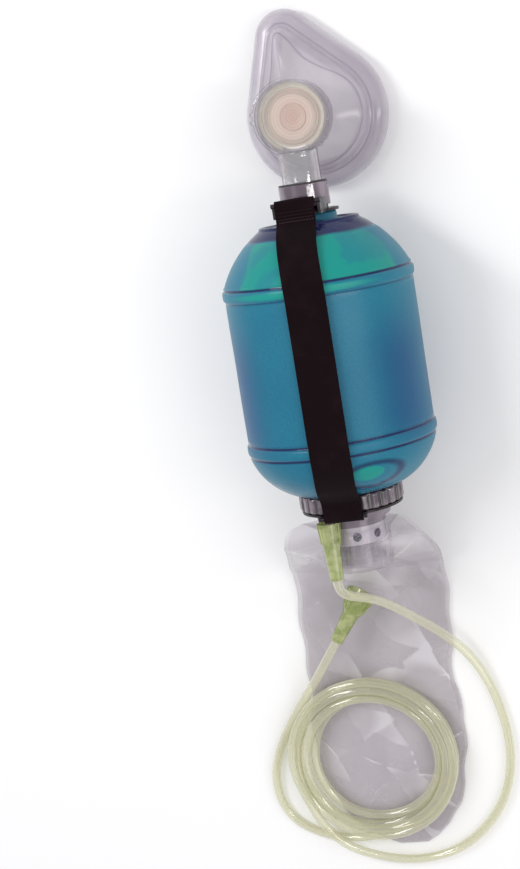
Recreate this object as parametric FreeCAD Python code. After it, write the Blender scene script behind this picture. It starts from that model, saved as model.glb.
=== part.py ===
import FreeCAD, Part
import math
import os

# Bag valve mask (manual resuscitator), in millimetres.
# The bag lies on a flat surface with its axis along Y: the mask is at +Y, the oxygen reservoir at -Y,
# +Z is up and +X is to the right of someone who looks along +Y.
# While it is modelled, y = 0 is the plane of the bag's front rim.  At the end every piece is moved
# along X and Y so that the origin is under the middle of the part without its tubing.

# ---- driving dimensions -------------------------------------------------------------------------

RUNNING_GAP = 0.05           # radial clearance of a piece that turns or slides on another
REST_GAP = 0.3               # space left between soft pieces and what they lie on

# squeeze bag, all along its own axis
RIB_RADIUS = 63.5            # the two raised bands, on which the bag lies
BAG_RADIUS = 62.3
BAG_WALL = 2.2
AXIS_Z = RIB_RADIUS
FRONT_RIM_RADIUS = 32.5
BOSS_RADIUS = 19.0           # the bag's soft neck at the front
BOSS_END = 5.0
FRONT_SHOULDER_END = -36.0
FRONT_RIB = -40.0
REAR_RIB = -143.0
RIB_WIDTH = 6.0
REAR_SHOULDER_START = -148.0
REAR_RIM_RADIUS = 35.0
REAR_RIM = -178.0
REAR_NECK_RADIUS = 31.5
REAR_NECK_END = -186.0

# front coupling between bag and patient valve
NECK_RADIUS = 12.8           # the valve's neck tube, which turns in the bag
NECK_BORE = 11.0
FERRULE_RADIUS = 14.5
COLLAR_RADIUS = 16.2
COLLAR_START = 9.5
COLLAR_END = 24.5

# patient valve, round the vertical axis of the patient port
PORT_Y = 68.0
DRUM_RADIUS = 24.0
DRUM_WALL = 1.8
DRUM_BOTTOM = 50.0
DRUM_TOP = 68.5
CAP_RADIUS = 25.5
CAP_TOP = 71.5
DISC_RADIUS = 20.5           # silicone lip valve
DISC_Z = 61.0
DISC_THICKNESS = 1.2
DISC_LIFT = 1.2
SOCKET_RADIUS = 12.0         # the patient connector turns in this
CONNECTOR_OUTER = 11.0       # 22 mm male cone
CONNECTOR_INNER = 7.5        # 15 mm female socket
CONNECTOR_BOTTOM = 22.0
SOCKET_DEPTH = 16.0

# face mask, round the same axis; it is swivelled a little from the bag's axis
MASK_SWIVEL = 15.5           # degrees
MASK_LEAN = 5.0              # the soft dome leans, so the rim lies this far right of the port
NOSE_Y, NOSE_RADIUS = 53.5, 20.0
CHIN_Y, CHIN_RADIUS = -2.0, 49.0
CUSHION_TOP = 18.0
MASK_COLLAR_TOP = 40.5
MASK_WALL = 1.8

# hand strap
STRAP_WIDTH = 26.0
STRAP_THICKNESS = 1.5
STRAP_BAR_RADIUS = 1.5
FRONT_BAR_Y, FRONT_BAR_RISE = 13.8, 29.5
REAR_BAR_Y, REAR_BAR_RISE = -191.6, 34.4

# intake end
RING_RADIUS = 33.6
RING_RIB_RADIUS = 35.0
RING_RIB_COUNT = 28
RING_END = -189.5
JOURNAL_RADIUS = 30.95
JOURNAL_END = -191.8
CONE_END = -202.5
SEAT_Y = -184.0
LEAF_RADIUS = 17.0
NIPPLE_OFFSET = 28.0         # from the bag's axis
NIPPLE_ANGLE = 27.0          # degrees left of the top

# reservoir valve collar, neck and film bag
WHITE_RADIUS = 19.5
WHITE_END = -215.0
VENT_COUNT = 8
VENT_RADIUS = 2.6
RESERVOIR_NECK_RADIUS = 16.0
RESERVOIR_NECK_END = -231.0

# oxygen tubing and its two funnel connectors: a small one on the bag, a wide one for the supply
TUBE_DIAMETER = 6.4
BAG_FUNNEL_RADIUS, BAG_FUNNEL_END_RADIUS = 8.1, 6.4
BAG_FUNNEL_LENGTH = 39.0
FUNNEL_START = -196.0
SUPPLY_FUNNEL_RADIUS, SUPPLY_FUNNEL_END_RADIUS = 10.9, 7.4
SUPPLY_FUNNEL_LENGTH = 39.5
SUPPLY_MOUTH = FreeCAD.Vector(-13.3, -264.0, 20.0)
SUPPLY_DIRECTION = FreeCAD.Vector(-22.3, -31.9, 4.0)
COIL_CENTRE = FreeCAD.Vector(-26.0, -389.0, 12.0)
COIL_MEAN_RADIUS = 52.0
COIL_HALF_WIDTH = 12.0
COIL_HALF_HEIGHT = 6.6

# From the bag's connector down over the reservoir, round to the right and into the coil's left side.
LEAD_ROUTE = [
    (-12.7, -235.0, 88.45),
    (-12.7, -244.0, 88.2),
    (-7.5, -252.5, 81.0),
    (1.5, -259.0, 69.0),
    (11.0, -267.5, 55.0),
    (20.5, -277.5, 41.0),
    (31.0, -289.0, 28.0),
    (41.5, -301.0, 18.0),
    (51.5, -314.0, 11.0),
    (60.5, -331.0, 6.0),
    (67.5, -351.0, 3.8),
    (71.8, -373.0, 3.2),
    (72.5, -396.0, 3.3),
    (68.0, -418.0, 3.2),
    (58.5, -437.0, 3.3),
    (44.0, -453.5, 3.2),
    (26.0, -465.5, 3.4),
    (4.0, -471.5, 3.2),
    (-18.0, -471.0, 4.0),
    (-38.0, -464.0, 8.5),
    (-55.0, -455.0, 11.6),
    (-69.5, -439.0, 12.2),
    (-79.0, -416.0, 12.0),
]

# From the coil's lower edge round its left side and up to the supply connector.
TAIL_ROUTE = [
    (-17.0, -447.0, 8.0),
    (-33.0, -450.5, 6.0),
    (-50.0, -452.5, 4.0),
    (-67.0, -450.0, 3.3),
    (-82.0, -444.0, 3.2),
    (-94.0, -435.0, 3.3),
    (-101.5, -421.0, 3.2),
    (-103.0, -403.5, 3.3),
    (-99.0, -387.0, 3.2),
    (-90.0, -370.0, 3.3),
    (-76.5, -350.5, 5.5),
    (-61.5, -331.5, 12.5),
]


# ---- outlines and solids ------------------------------------------------------------------------

def vector(x, y, z):
    return FreeCAD.Vector(x, y, z)


X_AXIS = vector(1, 0, 0)
Y_AXIS = vector(0, 1, 0)
Z_AXIS = vector(0, 0, 1)
BAG_AXIS = vector(0, 0, AXIS_Z)
PORT = vector(0, PORT_Y, 0)


def outline_edges(outline, to_3d):
    """Edges through an outline: a pair is a corner, a 4-tuple is an arc's middle and end."""
    edges = []
    here = outline[0]
    for step in outline[1:]:
        if len(step) == 2:
            edges.append(Part.LineSegment(to_3d(*here), to_3d(*step)).toShape())
            here = step
        else:
            middle, end = step[:2], step[2:]
            edges.append(Part.Arc(to_3d(*here), to_3d(*middle), to_3d(*end)).toShape())
            here = end
    return edges


def turned(outline, axis, place):
    """Solid of revolution of a closed outline of (radius, distance along the axis) steps."""
    along = Y_AXIS if axis == "y" else Z_AXIS

    def to_3d(radius, distance):
        return X_AXIS * radius + along * distance

    wire = Part.Wire(outline_edges(outline + [outline[0]], to_3d))
    solid = Part.Face(wire).revolve(vector(0, 0, 0), along, 360)
    solid.translate(place)
    return solid


def ring_y(inner, outer, start, end):
    """Plain ring round the bag's axis."""
    return turned([(inner, start), (outer, start), (outer, end), (inner, end)], "y", BAG_AXIS)


def rod_y(radius, start, end, x=0.0, rise=0.0):
    """Rod along Y, placed from the bag's axis."""
    return Part.makeCylinder(radius, end - start, vector(x, start, AXIS_Z + rise), Y_AXIS)


def block(low, high):
    size = high - low
    return Part.makeBox(size.x, size.y, size.z, low)


def around_bag(shape, degrees):
    """A copy turned about the bag's axis."""
    copy = shape.copy()
    copy.rotate(BAG_AXIS, Y_AXIS, degrees)
    return copy


def around_port(shape, degrees):
    """A copy turned about the patient port's axis."""
    copy = shape.copy()
    copy.rotate(PORT, Z_AXIS, degrees)
    return copy


# ---- squeeze bag --------------------------------------------------------------------------------

def rib_outline(radius, centre, height):
    """A raised band with rounded edges, passed from front to rear."""
    half = RIB_WIDTH / 2
    top = radius + height
    return [
        (radius, centre + half + 0.8),
        (top, centre + half - 0.8),
        (top, centre - half + 0.8),
        (radius, centre - half - 0.8),
    ]


def bag_skin(inset):
    """The bag's side from the front rim to the rear neck; inset moves it inwards by the wall."""
    radius = BAG_RADIUS - inset
    height = RIB_RADIUS - BAG_RADIUS
    return [
        (FRONT_RIM_RADIUS - inset, -inset),
        (50.4 - 0.75 * inset, -16.2 - 0.6 * inset, radius, FRONT_SHOULDER_END),
        *rib_outline(radius, FRONT_RIB, height),
        *rib_outline(radius, REAR_RIB, height),
        (radius, REAR_SHOULDER_START),
        (52.5 - 0.75 * inset, -166.0 + 0.6 * inset, REAR_RIM_RADIUS - inset, REAR_RIM + inset),
    ]


def squeeze_bag():
    outer = [
        (FERRULE_RADIUS, BOSS_END),
        (BOSS_RADIUS, BOSS_END),
        (BOSS_RADIUS, -0.6),
        (FRONT_RIM_RADIUS - 2, -0.6),
        *bag_skin(0.0),
        (REAR_NECK_RADIUS, REAR_RIM),
        (REAR_NECK_RADIUS, REAR_NECK_END),
    ]
    inner = [
        (FERRULE_RADIUS, -0.6 - BAG_WALL),
        *bag_skin(BAG_WALL),
        (REAR_NECK_RADIUS - BAG_WALL, REAR_RIM + BAG_WALL),
        (REAR_NECK_RADIUS - BAG_WALL, REAR_NECK_END),
    ]
    solid_bag = turned([(0.0, BOSS_END)] + outer + [(0.0, REAR_NECK_END)], "y", BAG_AXIS)
    hollow = turned([(0.0, inner[0][1])] + inner + [(0.0, REAR_NECK_END)], "y", BAG_AXIS)
    bore = rod_y(FERRULE_RADIUS, -10.0, BOSS_END)
    return solid_bag.cut(hollow).cut(bore)


# ---- front coupling -----------------------------------------------------------------------------

def front_ferrule():
    """Tube through the bag's soft neck, with a flange inside the bag."""
    bore = NECK_RADIUS + RUNNING_GAP
    inside = -0.6 - BAG_WALL
    return turned([
        (bore, COLLAR_START),
        (FERRULE_RADIUS, COLLAR_START),
        (FERRULE_RADIUS, inside),
        (18.0, inside),
        (18.0, inside - 1.8),
        (bore, inside - 1.8),
    ], "y", BAG_AXIS)


def neck_collar():
    """Smoky collar that holds the valve's neck."""
    bore = NECK_RADIUS + RUNNING_GAP
    return turned([
        (bore, COLLAR_START),
        (COLLAR_RADIUS - 0.4, COLLAR_START),
        (COLLAR_RADIUS, COLLAR_START + 0.4),
        (COLLAR_RADIUS, COLLAR_END - 0.4),
        (COLLAR_RADIUS - 0.4, COLLAR_END),
        (bore, COLLAR_END),
    ], "y", BAG_AXIS)


def neck_ring():
    """Dark rubber washer on the collar's outer face."""
    return ring_y(NECK_RADIUS + RUNNING_GAP, COLLAR_RADIUS - 0.3, COLLAR_END, COLLAR_END + 1.0)


# ---- patient valve ------------------------------------------------------------------------------

def neck_envelope(radius):
    """Outer cylinder of the valve's neck, up to its flat end beside the disc."""
    return rod_y(radius, COLLAR_END, PORT_Y - 22.5)


def valve_housing():
    drum = Part.makeCylinder(DRUM_RADIUS, DRUM_TOP - DRUM_BOTTOM, PORT + Z_AXIS * DRUM_BOTTOM)
    neck = rod_y(NECK_RADIUS, -6.0, PORT_Y - 22.5)
    snap_lip = ring_y(NECK_RADIUS - 0.5, NECK_RADIUS + 0.9, -6.8, -5.4)
    hollow = Part.makeCylinder(DRUM_RADIUS - DRUM_WALL, 40.0, PORT + Z_AXIS * DRUM_BOTTOM)
    hollow = hollow.common(block(vector(-40, 0, 0), vector(40, 200, DRUM_TOP)))
    bore = rod_y(NECK_BORE, -10.0, PORT_Y - 22.5 - DRUM_WALL)
    window = block(vector(-8.5, 40.0, 64.0), vector(8.5, 50.0, DRUM_TOP - 0.8))
    housing = drum.fuse([neck, snap_lip])
    return housing.cut([hollow, bore, window])


def valve_cap():
    """Clear lid with a skirt over the drum and two pairs of snap lugs."""
    lid = turned([
        (0.0, CAP_TOP - 1.8),
        (DRUM_RADIUS + RUNNING_GAP, CAP_TOP - 1.8),
        (DRUM_RADIUS + RUNNING_GAP, 65.5),
        (CAP_RADIUS, 65.5),
        (CAP_RADIUS, CAP_TOP - 0.8),
        (CAP_RADIUS - 0.24, CAP_TOP - 0.24, CAP_RADIUS - 0.8, CAP_TOP),
        (22.6, CAP_TOP),
        (22.2, CAP_TOP - 0.5),
        (0.0, CAP_TOP - 0.5),
    ], "z", PORT)
    lugs = []
    for degrees in (4.0, 16.0, 168.0, 180.0, -38.0, -50.0):
        lug = block(vector(CAP_RADIUS - 0.6, PORT_Y - 1.1, 63.5), vector(CAP_RADIUS + 1.6, PORT_Y + 1.1, 70.0))
        lugs.append(around_port(lug, degrees))
    return lid.fuse(lugs).cut(neck_envelope(NECK_RADIUS + RUNNING_GAP))


def inlet_seat():
    """Ring that the lip valve closes against while the patient breathes out."""
    face = DISC_Z + DISC_THICKNESS + DISC_LIFT
    ring = turned([
        (14.5, face),
        (16.0, face),
        (16.0, face + 1.0),
        (DRUM_RADIUS - DRUM_WALL, face + 1.0),
        (DRUM_RADIUS - DRUM_WALL, face + 2.6),
        (14.5, face + 2.6),
    ], "z", PORT)
    gap_for_neck = block(vector(-9, PORT_Y - 28, face - 1), vector(9, PORT_Y - 19, face + 4))
    return ring.cut(gap_for_neck)


def lip_valve():
    """Silicone disc with concentric ridges above and a duckbill below."""
    low, high = DISC_Z, DISC_Z + DISC_THICKNESS
    disc = turned([
        (0.0, low),
        (DISC_RADIUS, low),
        (DISC_RADIUS, high),
        (17.5, high),
        (17.1, high + 0.5, 16.7, high),
        (8.8, high),
        (8.4, high + 0.6, 8.0, high),
        (4.0, high - 0.3),
        (0.0, high - 0.3),
    ], "z", PORT)
    top = [vector(-7.0, PORT_Y - 5.0, low), vector(7.0, PORT_Y - 5.0, low),
           vector(7.0, PORT_Y + 5.0, low), vector(-7.0, PORT_Y + 5.0, low)]
    bottom = [vector(-7.0, PORT_Y - 0.6, 53.0), vector(7.0, PORT_Y - 0.6, 53.0),
              vector(7.0, PORT_Y + 0.6, 53.0), vector(-7.0, PORT_Y + 0.6, 53.0)]
    bill = Part.makeLoft([Part.makePolygon(top + top[:1]), Part.makePolygon(bottom + bottom[:1])], True, True)
    return disc.fuse(bill)


def valve_base():
    """Floor of the drum, with exhalation ports round the socket of the patient connector."""
    socket = SOCKET_RADIUS
    base = turned([
        (socket, 43.5),
        (socket + 2.0, 43.5),
        (socket + 2.0, 48.2),
        (DRUM_RADIUS, 48.2),
        (DRUM_RADIUS, DRUM_BOTTOM),
        (socket + 2.0, DRUM_BOTTOM),
        (socket + 2.0, DISC_Z),
        (socket, DISC_Z),
    ], "z", PORT)
    hole = Part.makeCylinder(2.1, 4.0, vector(18.2, PORT_Y, 47.0))
    return base.cut([around_port(hole, 30.0 * number) for number in range(12)])


def patient_connector():
    """22 mm male, 15 mm female swivel connector."""
    neck = SOCKET_RADIUS - RUNNING_GAP
    socket_top = CONNECTOR_BOTTOM + SOCKET_DEPTH
    return turned([
        (CONNECTOR_INNER, CONNECTOR_BOTTOM),
        (CONNECTOR_OUTER - 0.4, CONNECTOR_BOTTOM),
        (CONNECTOR_OUTER, CONNECTOR_BOTTOM + 0.6),
        (CONNECTOR_OUTER, 41.4),
        (14.4, 41.4),
        (14.4, 43.2),
        (neck, 43.2),
        (neck, 46.0),
        (neck - 1.2, 46.0),
        (neck - 1.2, 48.2),
        (neck, 48.2),
        (neck, 51.0),
        (9.6, 51.0),
        (9.6, socket_top + 2.0),
        (CONNECTOR_INNER, socket_top),
    ], "z", PORT)


def connector_seal():
    """O-ring in the connector's groove."""
    thickness = 0.6
    place = vector(0, PORT_Y, 47.1)
    return Part.makeTorus(SOCKET_RADIUS - RUNNING_GAP - thickness, thickness, place)


# ---- face mask ----------------------------------------------------------------------------------

def teardrop(nose_y, nose_radius, chin_y, chin_radius, z):
    """Outline round two circles: a small one at the nose and a large one at the chin."""
    lean = math.asin((chin_radius - nose_radius) / (nose_y - chin_y))
    across, along = math.cos(lean), math.sin(lean)
    nose_side = vector(nose_radius * across, nose_y + nose_radius * along, z)
    chin_side = vector(chin_radius * across, chin_y + chin_radius * along, z)

    def mirrored(point):
        return vector(-point.x, point.y, point.z)

    nose_tip = vector(0, nose_y + nose_radius, z)
    chin_tip = vector(0, chin_y - chin_radius, z)
    return Part.Wire([
        Part.Arc(nose_side, nose_tip, mirrored(nose_side)).toShape(),
        Part.LineSegment(mirrored(nose_side), mirrored(chin_side)).toShape(),
        Part.Arc(mirrored(chin_side), chin_tip, chin_side).toShape(),
        Part.LineSegment(chin_side, nose_side).toShape(),
    ])


def inset_outline(inset, z):
    return teardrop(NOSE_Y, NOSE_RADIUS - inset, CHIN_Y, CHIN_RADIUS - inset, z)


def on_port(shape):
    """Turns a mask piece to its swivel and puts it on the port's axis."""
    shape.rotate(vector(0, 0, 0), Z_AXIS, MASK_SWIVEL)
    shape.translate(PORT)
    return shape


def mask_cushion():
    sections = [(6.5, 0.0), (1.6, 4.5), (0.0, 10.0), (2.0, 14.5), (7.5, CUSHION_TOP)]
    body = Part.makeLoft([inset_outline(inset, z) for inset, z in sections], True, True)
    opening = Part.Face(teardrop(45.0, 6.0, -3.0, 30.0, -1.0)).extrude(Z_AXIS * 30)
    cushion = body.cut(opening)
    cushion.translate(X_AXIS * MASK_LEAN)
    return on_port(cushion)


def dome_body(wall):
    """The dome's outside, or its inside when a wall thickness is taken off."""
    sections = [
        teardrop(NOSE_Y, 11.0 - wall, CHIN_Y, 40.0 - wall, CUSHION_TOP - (0.5 if wall else 0)),
        teardrop(NOSE_Y, 10.4 - wall, CHIN_Y, 39.3 - wall, 22.0 - wall),
        teardrop(50.0, 8.0 - wall, -3.0, 34.5 - wall, 29.0 - wall),
        teardrop(42.0, 6.0 - wall, -3.0, 28.5 - wall, 33.0 - wall),
        teardrop(28.0, 5.0 - wall, -2.0, 20.0 - wall, 35.5 - wall),
    ]
    body = Part.makeLoft(sections, True, True)
    body.translate(X_AXIS * MASK_LEAN)
    return body


def mask_dome():
    shell = dome_body(0.0).cut(dome_body(MASK_WALL))
    collar = Part.makeCylinder(14.0, MASK_COLLAR_TOP - 30.0, vector(0, 0, 30.0))
    bore = Part.makeCylinder(CONNECTOR_OUTER + RUNNING_GAP, 40.0, vector(0, 0, 15.0))
    return on_port(shell.fuse(collar).cut(bore))


# ---- hand strap ---------------------------------------------------------------------------------

def strap_underside():
    """The strap's lower line, from under the front bar to under the rear bar, as (rise, y) steps."""
    gap = REST_GAP
    bar = STRAP_BAR_RADIUS + 0.25
    crest = RIB_RADIUS + gap
    front, rear = FRONT_BAR_RISE, REAR_BAR_RISE
    return [
        (front - bar, FRONT_BAR_Y),
        (front, FRONT_BAR_Y + bar, front + bar, FRONT_BAR_Y),
        (FRONT_RIM_RADIUS + 1.2, 1.2),
        (51.3, -15.6, 62.6, -35.4),
        (crest, -37.5),
        (crest, -146.0),
        (62.6, -148.4),
        (53.3, -166.6, 36.6, -178.6),
        (rear + bar, REAR_BAR_Y),
        (rear, REAR_BAR_Y - bar, rear - bar, REAR_BAR_Y),
    ]


def hand_strap():
    """Webbing over the top of the bag, looped round a bar at each end."""

    def to_3d(rise, y):
        return vector(-STRAP_WIDTH / 2, y, AXIS_Z + rise)

    underside = Part.Wire(outline_edges(strap_underside(), to_3d))
    face = underside.makeOffset2D(STRAP_THICKNESS, 0, True, True)
    if face.BoundBox.ZMax < AXIS_Z + RIB_RADIUS + STRAP_THICKNESS:
        face = underside.makeOffset2D(-STRAP_THICKNESS, 0, True, True)
    return face.extrude(X_AXIS * STRAP_WIDTH)


def strap_bracket(inner, outer, start, end, bar_y, bar_rise):
    """Ring round the bag's axis with two posts that carry the strap's bar."""
    half = STRAP_WIDTH / 2 + 1.8
    plate = ring_y(inner, outer, start, end)
    bar = Part.makeCylinder(STRAP_BAR_RADIUS, 2 * half + 3.0, vector(-half - 1.5, bar_y, AXIS_Z + bar_rise), X_AXIS)
    pieces = [plate, bar]
    foot = math.sqrt(((inner + outer) / 2) ** 2 - half ** 2)
    for side in (-1, 1):
        low = vector(side * half - 0.9, min(start, bar_y - 0.9), AXIS_Z + foot)
        high = vector(side * half + 0.9, max(end, bar_y + 0.9), AXIS_Z + bar_rise + 0.6)
        pieces.append(block(low, high))
    return pieces[0].fuse(pieces[1:])


def strap_plate():
    inner = FERRULE_RADIUS + RUNNING_GAP
    return strap_bracket(inner, 21.0, BOSS_END + 0.3, BOSS_END + 2.0, FRONT_BAR_Y, FRONT_BAR_RISE)


def strap_rear_ring():
    inner = JOURNAL_RADIUS + RUNNING_GAP
    return strap_bracket(inner, 34.0, RING_END - 1.7, RING_END - 0.2, REAR_BAR_Y, REAR_BAR_RISE)


# ---- intake end ---------------------------------------------------------------------------------

def intake_ring():
    """Ribbed ring that clamps the intake body on the bag's rear neck."""
    bore = REAR_NECK_RADIUS + RUNNING_GAP
    body = turned([
        (bore, REAR_RIM - REST_GAP),
        (RING_RADIUS, REAR_RIM - REST_GAP),
        (RING_RADIUS, RING_END),
        (31.4, RING_END),
        (31.4, -188.25),
        (33.0, -188.25),
        (33.0, -185.7),
        (bore, -185.7),
    ], "y", BAG_AXIS)
    rib = block(vector(-1.1, RING_END, AXIS_Z + RING_RADIUS - 0.6),
                vector(1.1, REAR_RIM - 1.0, AXIS_Z + RING_RIB_RADIUS))
    step = 360.0 / RING_RIB_COUNT
    return body.fuse([around_bag(rib, step * number) for number in range(RING_RIB_COUNT)])


def nipple_place():
    angle = math.radians(NIPPLE_ANGLE)
    return -NIPPLE_OFFSET * math.sin(angle), NIPPLE_OFFSET * math.cos(angle)


def intake_body():
    """Valve seat in the bag's rear neck, stepped cone behind it, and the oxygen nipple."""
    neck_bore = REAR_NECK_RADIUS - BAG_WALL
    body = turned([
        (18.5, -176.0),
        (neck_bore, -176.0),
        (neck_bore, REAR_NECK_END),
        (32.9, REAR_NECK_END),
        (32.9, -188.2),
        (JOURNAL_RADIUS, -188.2),
        (JOURNAL_RADIUS, JOURNAL_END),
        (25.6, JOURNAL_END - 1.8),
        (24.6, -197.6),
        (21.2, -198.6),
        (20.4, CONE_END),
        (16.5, CONE_END),
        (18.5, -197.0),
    ], "y", BAG_AXIS)
    seat = ring_y(1.6, 18.8, SEAT_Y - 2.0, SEAT_Y)
    port = rod_y(4.0, SEAT_Y - 3.0, SEAT_Y + 1.0, x=10.5)
    seat = seat.cut([around_bag(port, 60.0 * number) for number in range(6)])
    x, rise = nipple_place()
    nipple = rod_y(2.6, FUNNEL_START - 24.0, JOURNAL_END + 1.0, x, rise)
    barbs = []
    for number in range(3):
        tip = FUNNEL_START - 23.0 + 4.0 * number
        barbs.append(Part.makeCone(2.5, 3.0, 2.6, vector(x, tip, AXIS_Z + rise), Y_AXIS))
    gas_way = rod_y(1.4, FUNNEL_START - 25.0, -186.5, x, rise)
    relief = rod_y(BAG_FUNNEL_RADIUS + REST_GAP, CONE_END - 1.0, FUNNEL_START + REST_GAP, x, rise)
    return body.cut(relief).fuse([seat, nipple] + barbs).cut(gas_way)


def intake_leaf():
    """Thin silicone disc that opens towards the bag."""
    return ring_y(1.6 + RUNNING_GAP, LEAF_RADIUS, SEAT_Y + 0.02, SEAT_Y + 1.0)


def leaf_pin():
    """Stem through the seat with a head that stops the leaf."""
    return turned([
        (0.0, SEAT_Y - 3.2),
        (2.6, SEAT_Y - 3.2),
        (2.6, SEAT_Y - 2.0),
        (1.6, SEAT_Y - 2.0),
        (1.6, SEAT_Y + 3.0),
        (4.2, SEAT_Y + 3.0),
        (3.8, SEAT_Y + 4.0, 2.8, SEAT_Y + 4.4),
        (0.0, SEAT_Y + 4.4),
    ], "y", BAG_AXIS)


# ---- reservoir valve and reservoir --------------------------------------------------------------

def vent_tool(radius):
    """Rod that drills one side vent; the first vent is a little left of the top."""
    drill = Part.makeCylinder(radius, 4.0, vector(0, -209.2, AXIS_Z + WHITE_RADIUS - 3.0), Z_AXIS)
    return around_bag(drill, 11.5)


def reservoir_collar():
    """White collar: side vents lead to a ring chamber with an air inlet and an overflow outlet."""
    shell = turned([
        (16.2, CONE_END),
        (WHITE_RADIUS, CONE_END),
        (WHITE_RADIUS, WHITE_END + 1.0),
        (WHITE_RADIUS - 0.3, WHITE_END + 0.3, WHITE_RADIUS - 1.0, WHITE_END),
        (RESERVOIR_NECK_RADIUS, WHITE_END),
        (RESERVOIR_NECK_RADIUS, -213.0),
        (10.6, -213.0),
        (10.6, -211.6),
        (17.5, -211.6),
        (17.5, -204.0),
        (16.2, -204.0),
    ], "y", BAG_AXIS)
    inner_tube = ring_y(10.6, 12.0, -211.7, -205.6)
    front_wall = ring_y(10.6, 17.6, -207.0, -205.6)
    port = rod_y(1.6, -208.0, -205.0, x=14.6)
    step = 360.0 / VENT_COUNT
    ports = [around_bag(port, step * number) for number in range(VENT_COUNT)]
    rear_port = rod_y(1.6, -214.0, -211.0, x=14.2)
    rear_ports = [around_bag(rear_port, step * number) for number in range(VENT_COUNT)]
    vents = [around_bag(vent_tool(VENT_RADIUS), step * number) for number in range(VENT_COUNT)]
    return shell.fuse([inner_tube, front_wall]).cut(ports + rear_ports + vents)


def vent_bars():
    """One slanting bar across each side vent, all in one group."""
    bar = block(vector(-VENT_RADIUS, -209.8, AXIS_Z + 17.7), vector(VENT_RADIUS, -208.6, AXIS_Z + 19.0))
    bar.rotate(vector(0, -209.2, 0), Z_AXIS, 40.0)
    bar = around_bag(bar, 11.5).common(vent_tool(VENT_RADIUS))
    step = 360.0 / VENT_COUNT
    return Part.makeCompound([around_bag(bar, step * number) for number in range(VENT_COUNT)])


def air_inlet_leaf():
    """Silicone ring that lets room air in when the reservoir is empty."""
    return ring_y(12.2, 16.9, -205.58, -204.9)


def overflow_leaf():
    """Silicone ring that lets surplus oxygen out."""
    return ring_y(12.2, 17.2, -211.58, -210.9)


def reservoir_neck():
    """Clear neck with two raised rings."""
    radius = RESERVOIR_NECK_RADIUS
    return turned([
        (13.4, -213.0),
        (radius, -213.0),
        (radius, -217.4),
        (radius + 0.7, -218.2, radius, -219.0),
        (radius, -222.4),
        (radius + 0.7, -223.2, radius, -224.0),
        (radius, RESERVOIR_NECK_END),
        (13.4, RESERVOIR_NECK_END),
    ], "y", BAG_AXIS)


def reservoir_band():
    """Clear band that grips the film on the neck."""
    return ring_y(RESERVOIR_NECK_RADIUS, RESERVOIR_NECK_RADIUS + 1.2, -229.0, -225.4)


def film_section(y, left_x, right_x, seam_z, top_z, bottom_z):
    """Lens-shaped section of the film bag, with a welded seam at each side."""
    left = vector(left_x, y, seam_z)
    right = vector(right_x, y, seam_z)
    middle = (left_x + right_x) / 2
    return Part.Wire([
        Part.Arc(left, vector(middle, y, top_z), right).toShape(),
        Part.Arc(right, vector(middle, y, bottom_z), left).toShape(),
    ])


def reservoir_bag():
    """Slack film bag: it drops from the neck and lies flat behind it."""
    sections = [
        film_section(-204.0, -44.0, 30.0, 50.0, 62.0, 30.0),
        film_section(-222.0, -52.0, 42.0, 46.0, 74.0, 24.0),
        film_section(-236.0, -53.0, 46.0, 29.0, 48.0, 8.0),
        film_section(-249.0, -54.0, 46.0, 8.5, 13.5, 1.0),
        film_section(-268.0, -54.0, 45.0, 3.5, 6.5, 0.0),
        film_section(-295.0, -54.0, 44.0, 2.0, 5.0, 0.0),
        film_section(-338.0, -54.0, 40.0, 1.4, 4.5, 0.0),
        film_section(-362.0, -54.0, 43.0, 1.4, 4.5, 0.0),
        film_section(-400.0, -51.0, 40.0, 1.4, 4.5, 0.0),
        film_section(-434.0, -41.0, 30.0, 1.3, 4.0, 0.0),
        film_section(-460.0, -18.0, 8.0, 1.0, 2.6, 0.0),
    ]
    body = Part.makeLoft(sections, True, True)
    cuff = rod_y(WHITE_RADIUS + 1.0, -240.0, -190.0)
    cuff = cuff.cut(rod_y(60.0, -240.0, -232.0))
    sleeve = ring_y(RESERVOIR_NECK_RADIUS + 1.3, WHITE_RADIUS + 1.2, -233.0, -216.5)
    plug = rod_y(WHITE_RADIUS + 1.2, -234.5, RESERVOIR_NECK_END - 0.2)
    return body.cut(cuff).fuse([sleeve, plug])


# ---- oxygen tubing ------------------------------------------------------------------------------

def funnel_connector(mouth_radius, funnel_end_radius, length):
    """Soft funnel connector along +Z: its mouth is at the origin, its tube end at its length."""
    throat = 0.37 * length
    body = turned([
        (mouth_radius - 1.5, 0.0),
        (mouth_radius - 0.5, 0.0),
        (funnel_end_radius, throat),
        (5.8, throat + 3.0),
        (4.6, length),
        (2.0, length),
        (2.0, length - 14.0),
        (3.05, length - 15.0),
        (3.05, 9.0),
        (mouth_radius - 2.6, 3.0),
    ], "z", vector(0, 0, 0))
    slope = math.degrees(math.atan2(mouth_radius - 0.5 - funnel_end_radius, throat))
    ribs = []
    for number in range(14):
        rib = block(vector(mouth_radius - 1.0, -0.55, 0.4), vector(mouth_radius, 0.55, throat - 1.0))
        rib.rotate(vector(mouth_radius - 0.5, 0, 0), Y_AXIS, -slope)
        rib.rotate(vector(0, 0, 0), Z_AXIS, 360.0 / 14 * number)
        ribs.append(rib)
    return body.fuse(ribs)


def placed_connector(connector, mouth, direction):
    """The connector with its mouth at a point and its tube end along a direction."""
    turn = FreeCAD.Rotation(Z_AXIS, direction)
    connector.Placement = FreeCAD.Placement(mouth, turn)
    return connector


def oxygen_connector():
    x, rise = nipple_place()
    connector = funnel_connector(BAG_FUNNEL_RADIUS, BAG_FUNNEL_END_RADIUS, BAG_FUNNEL_LENGTH)
    return placed_connector(connector, vector(x, FUNNEL_START, AXIS_Z + rise), -Y_AXIS)


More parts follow.
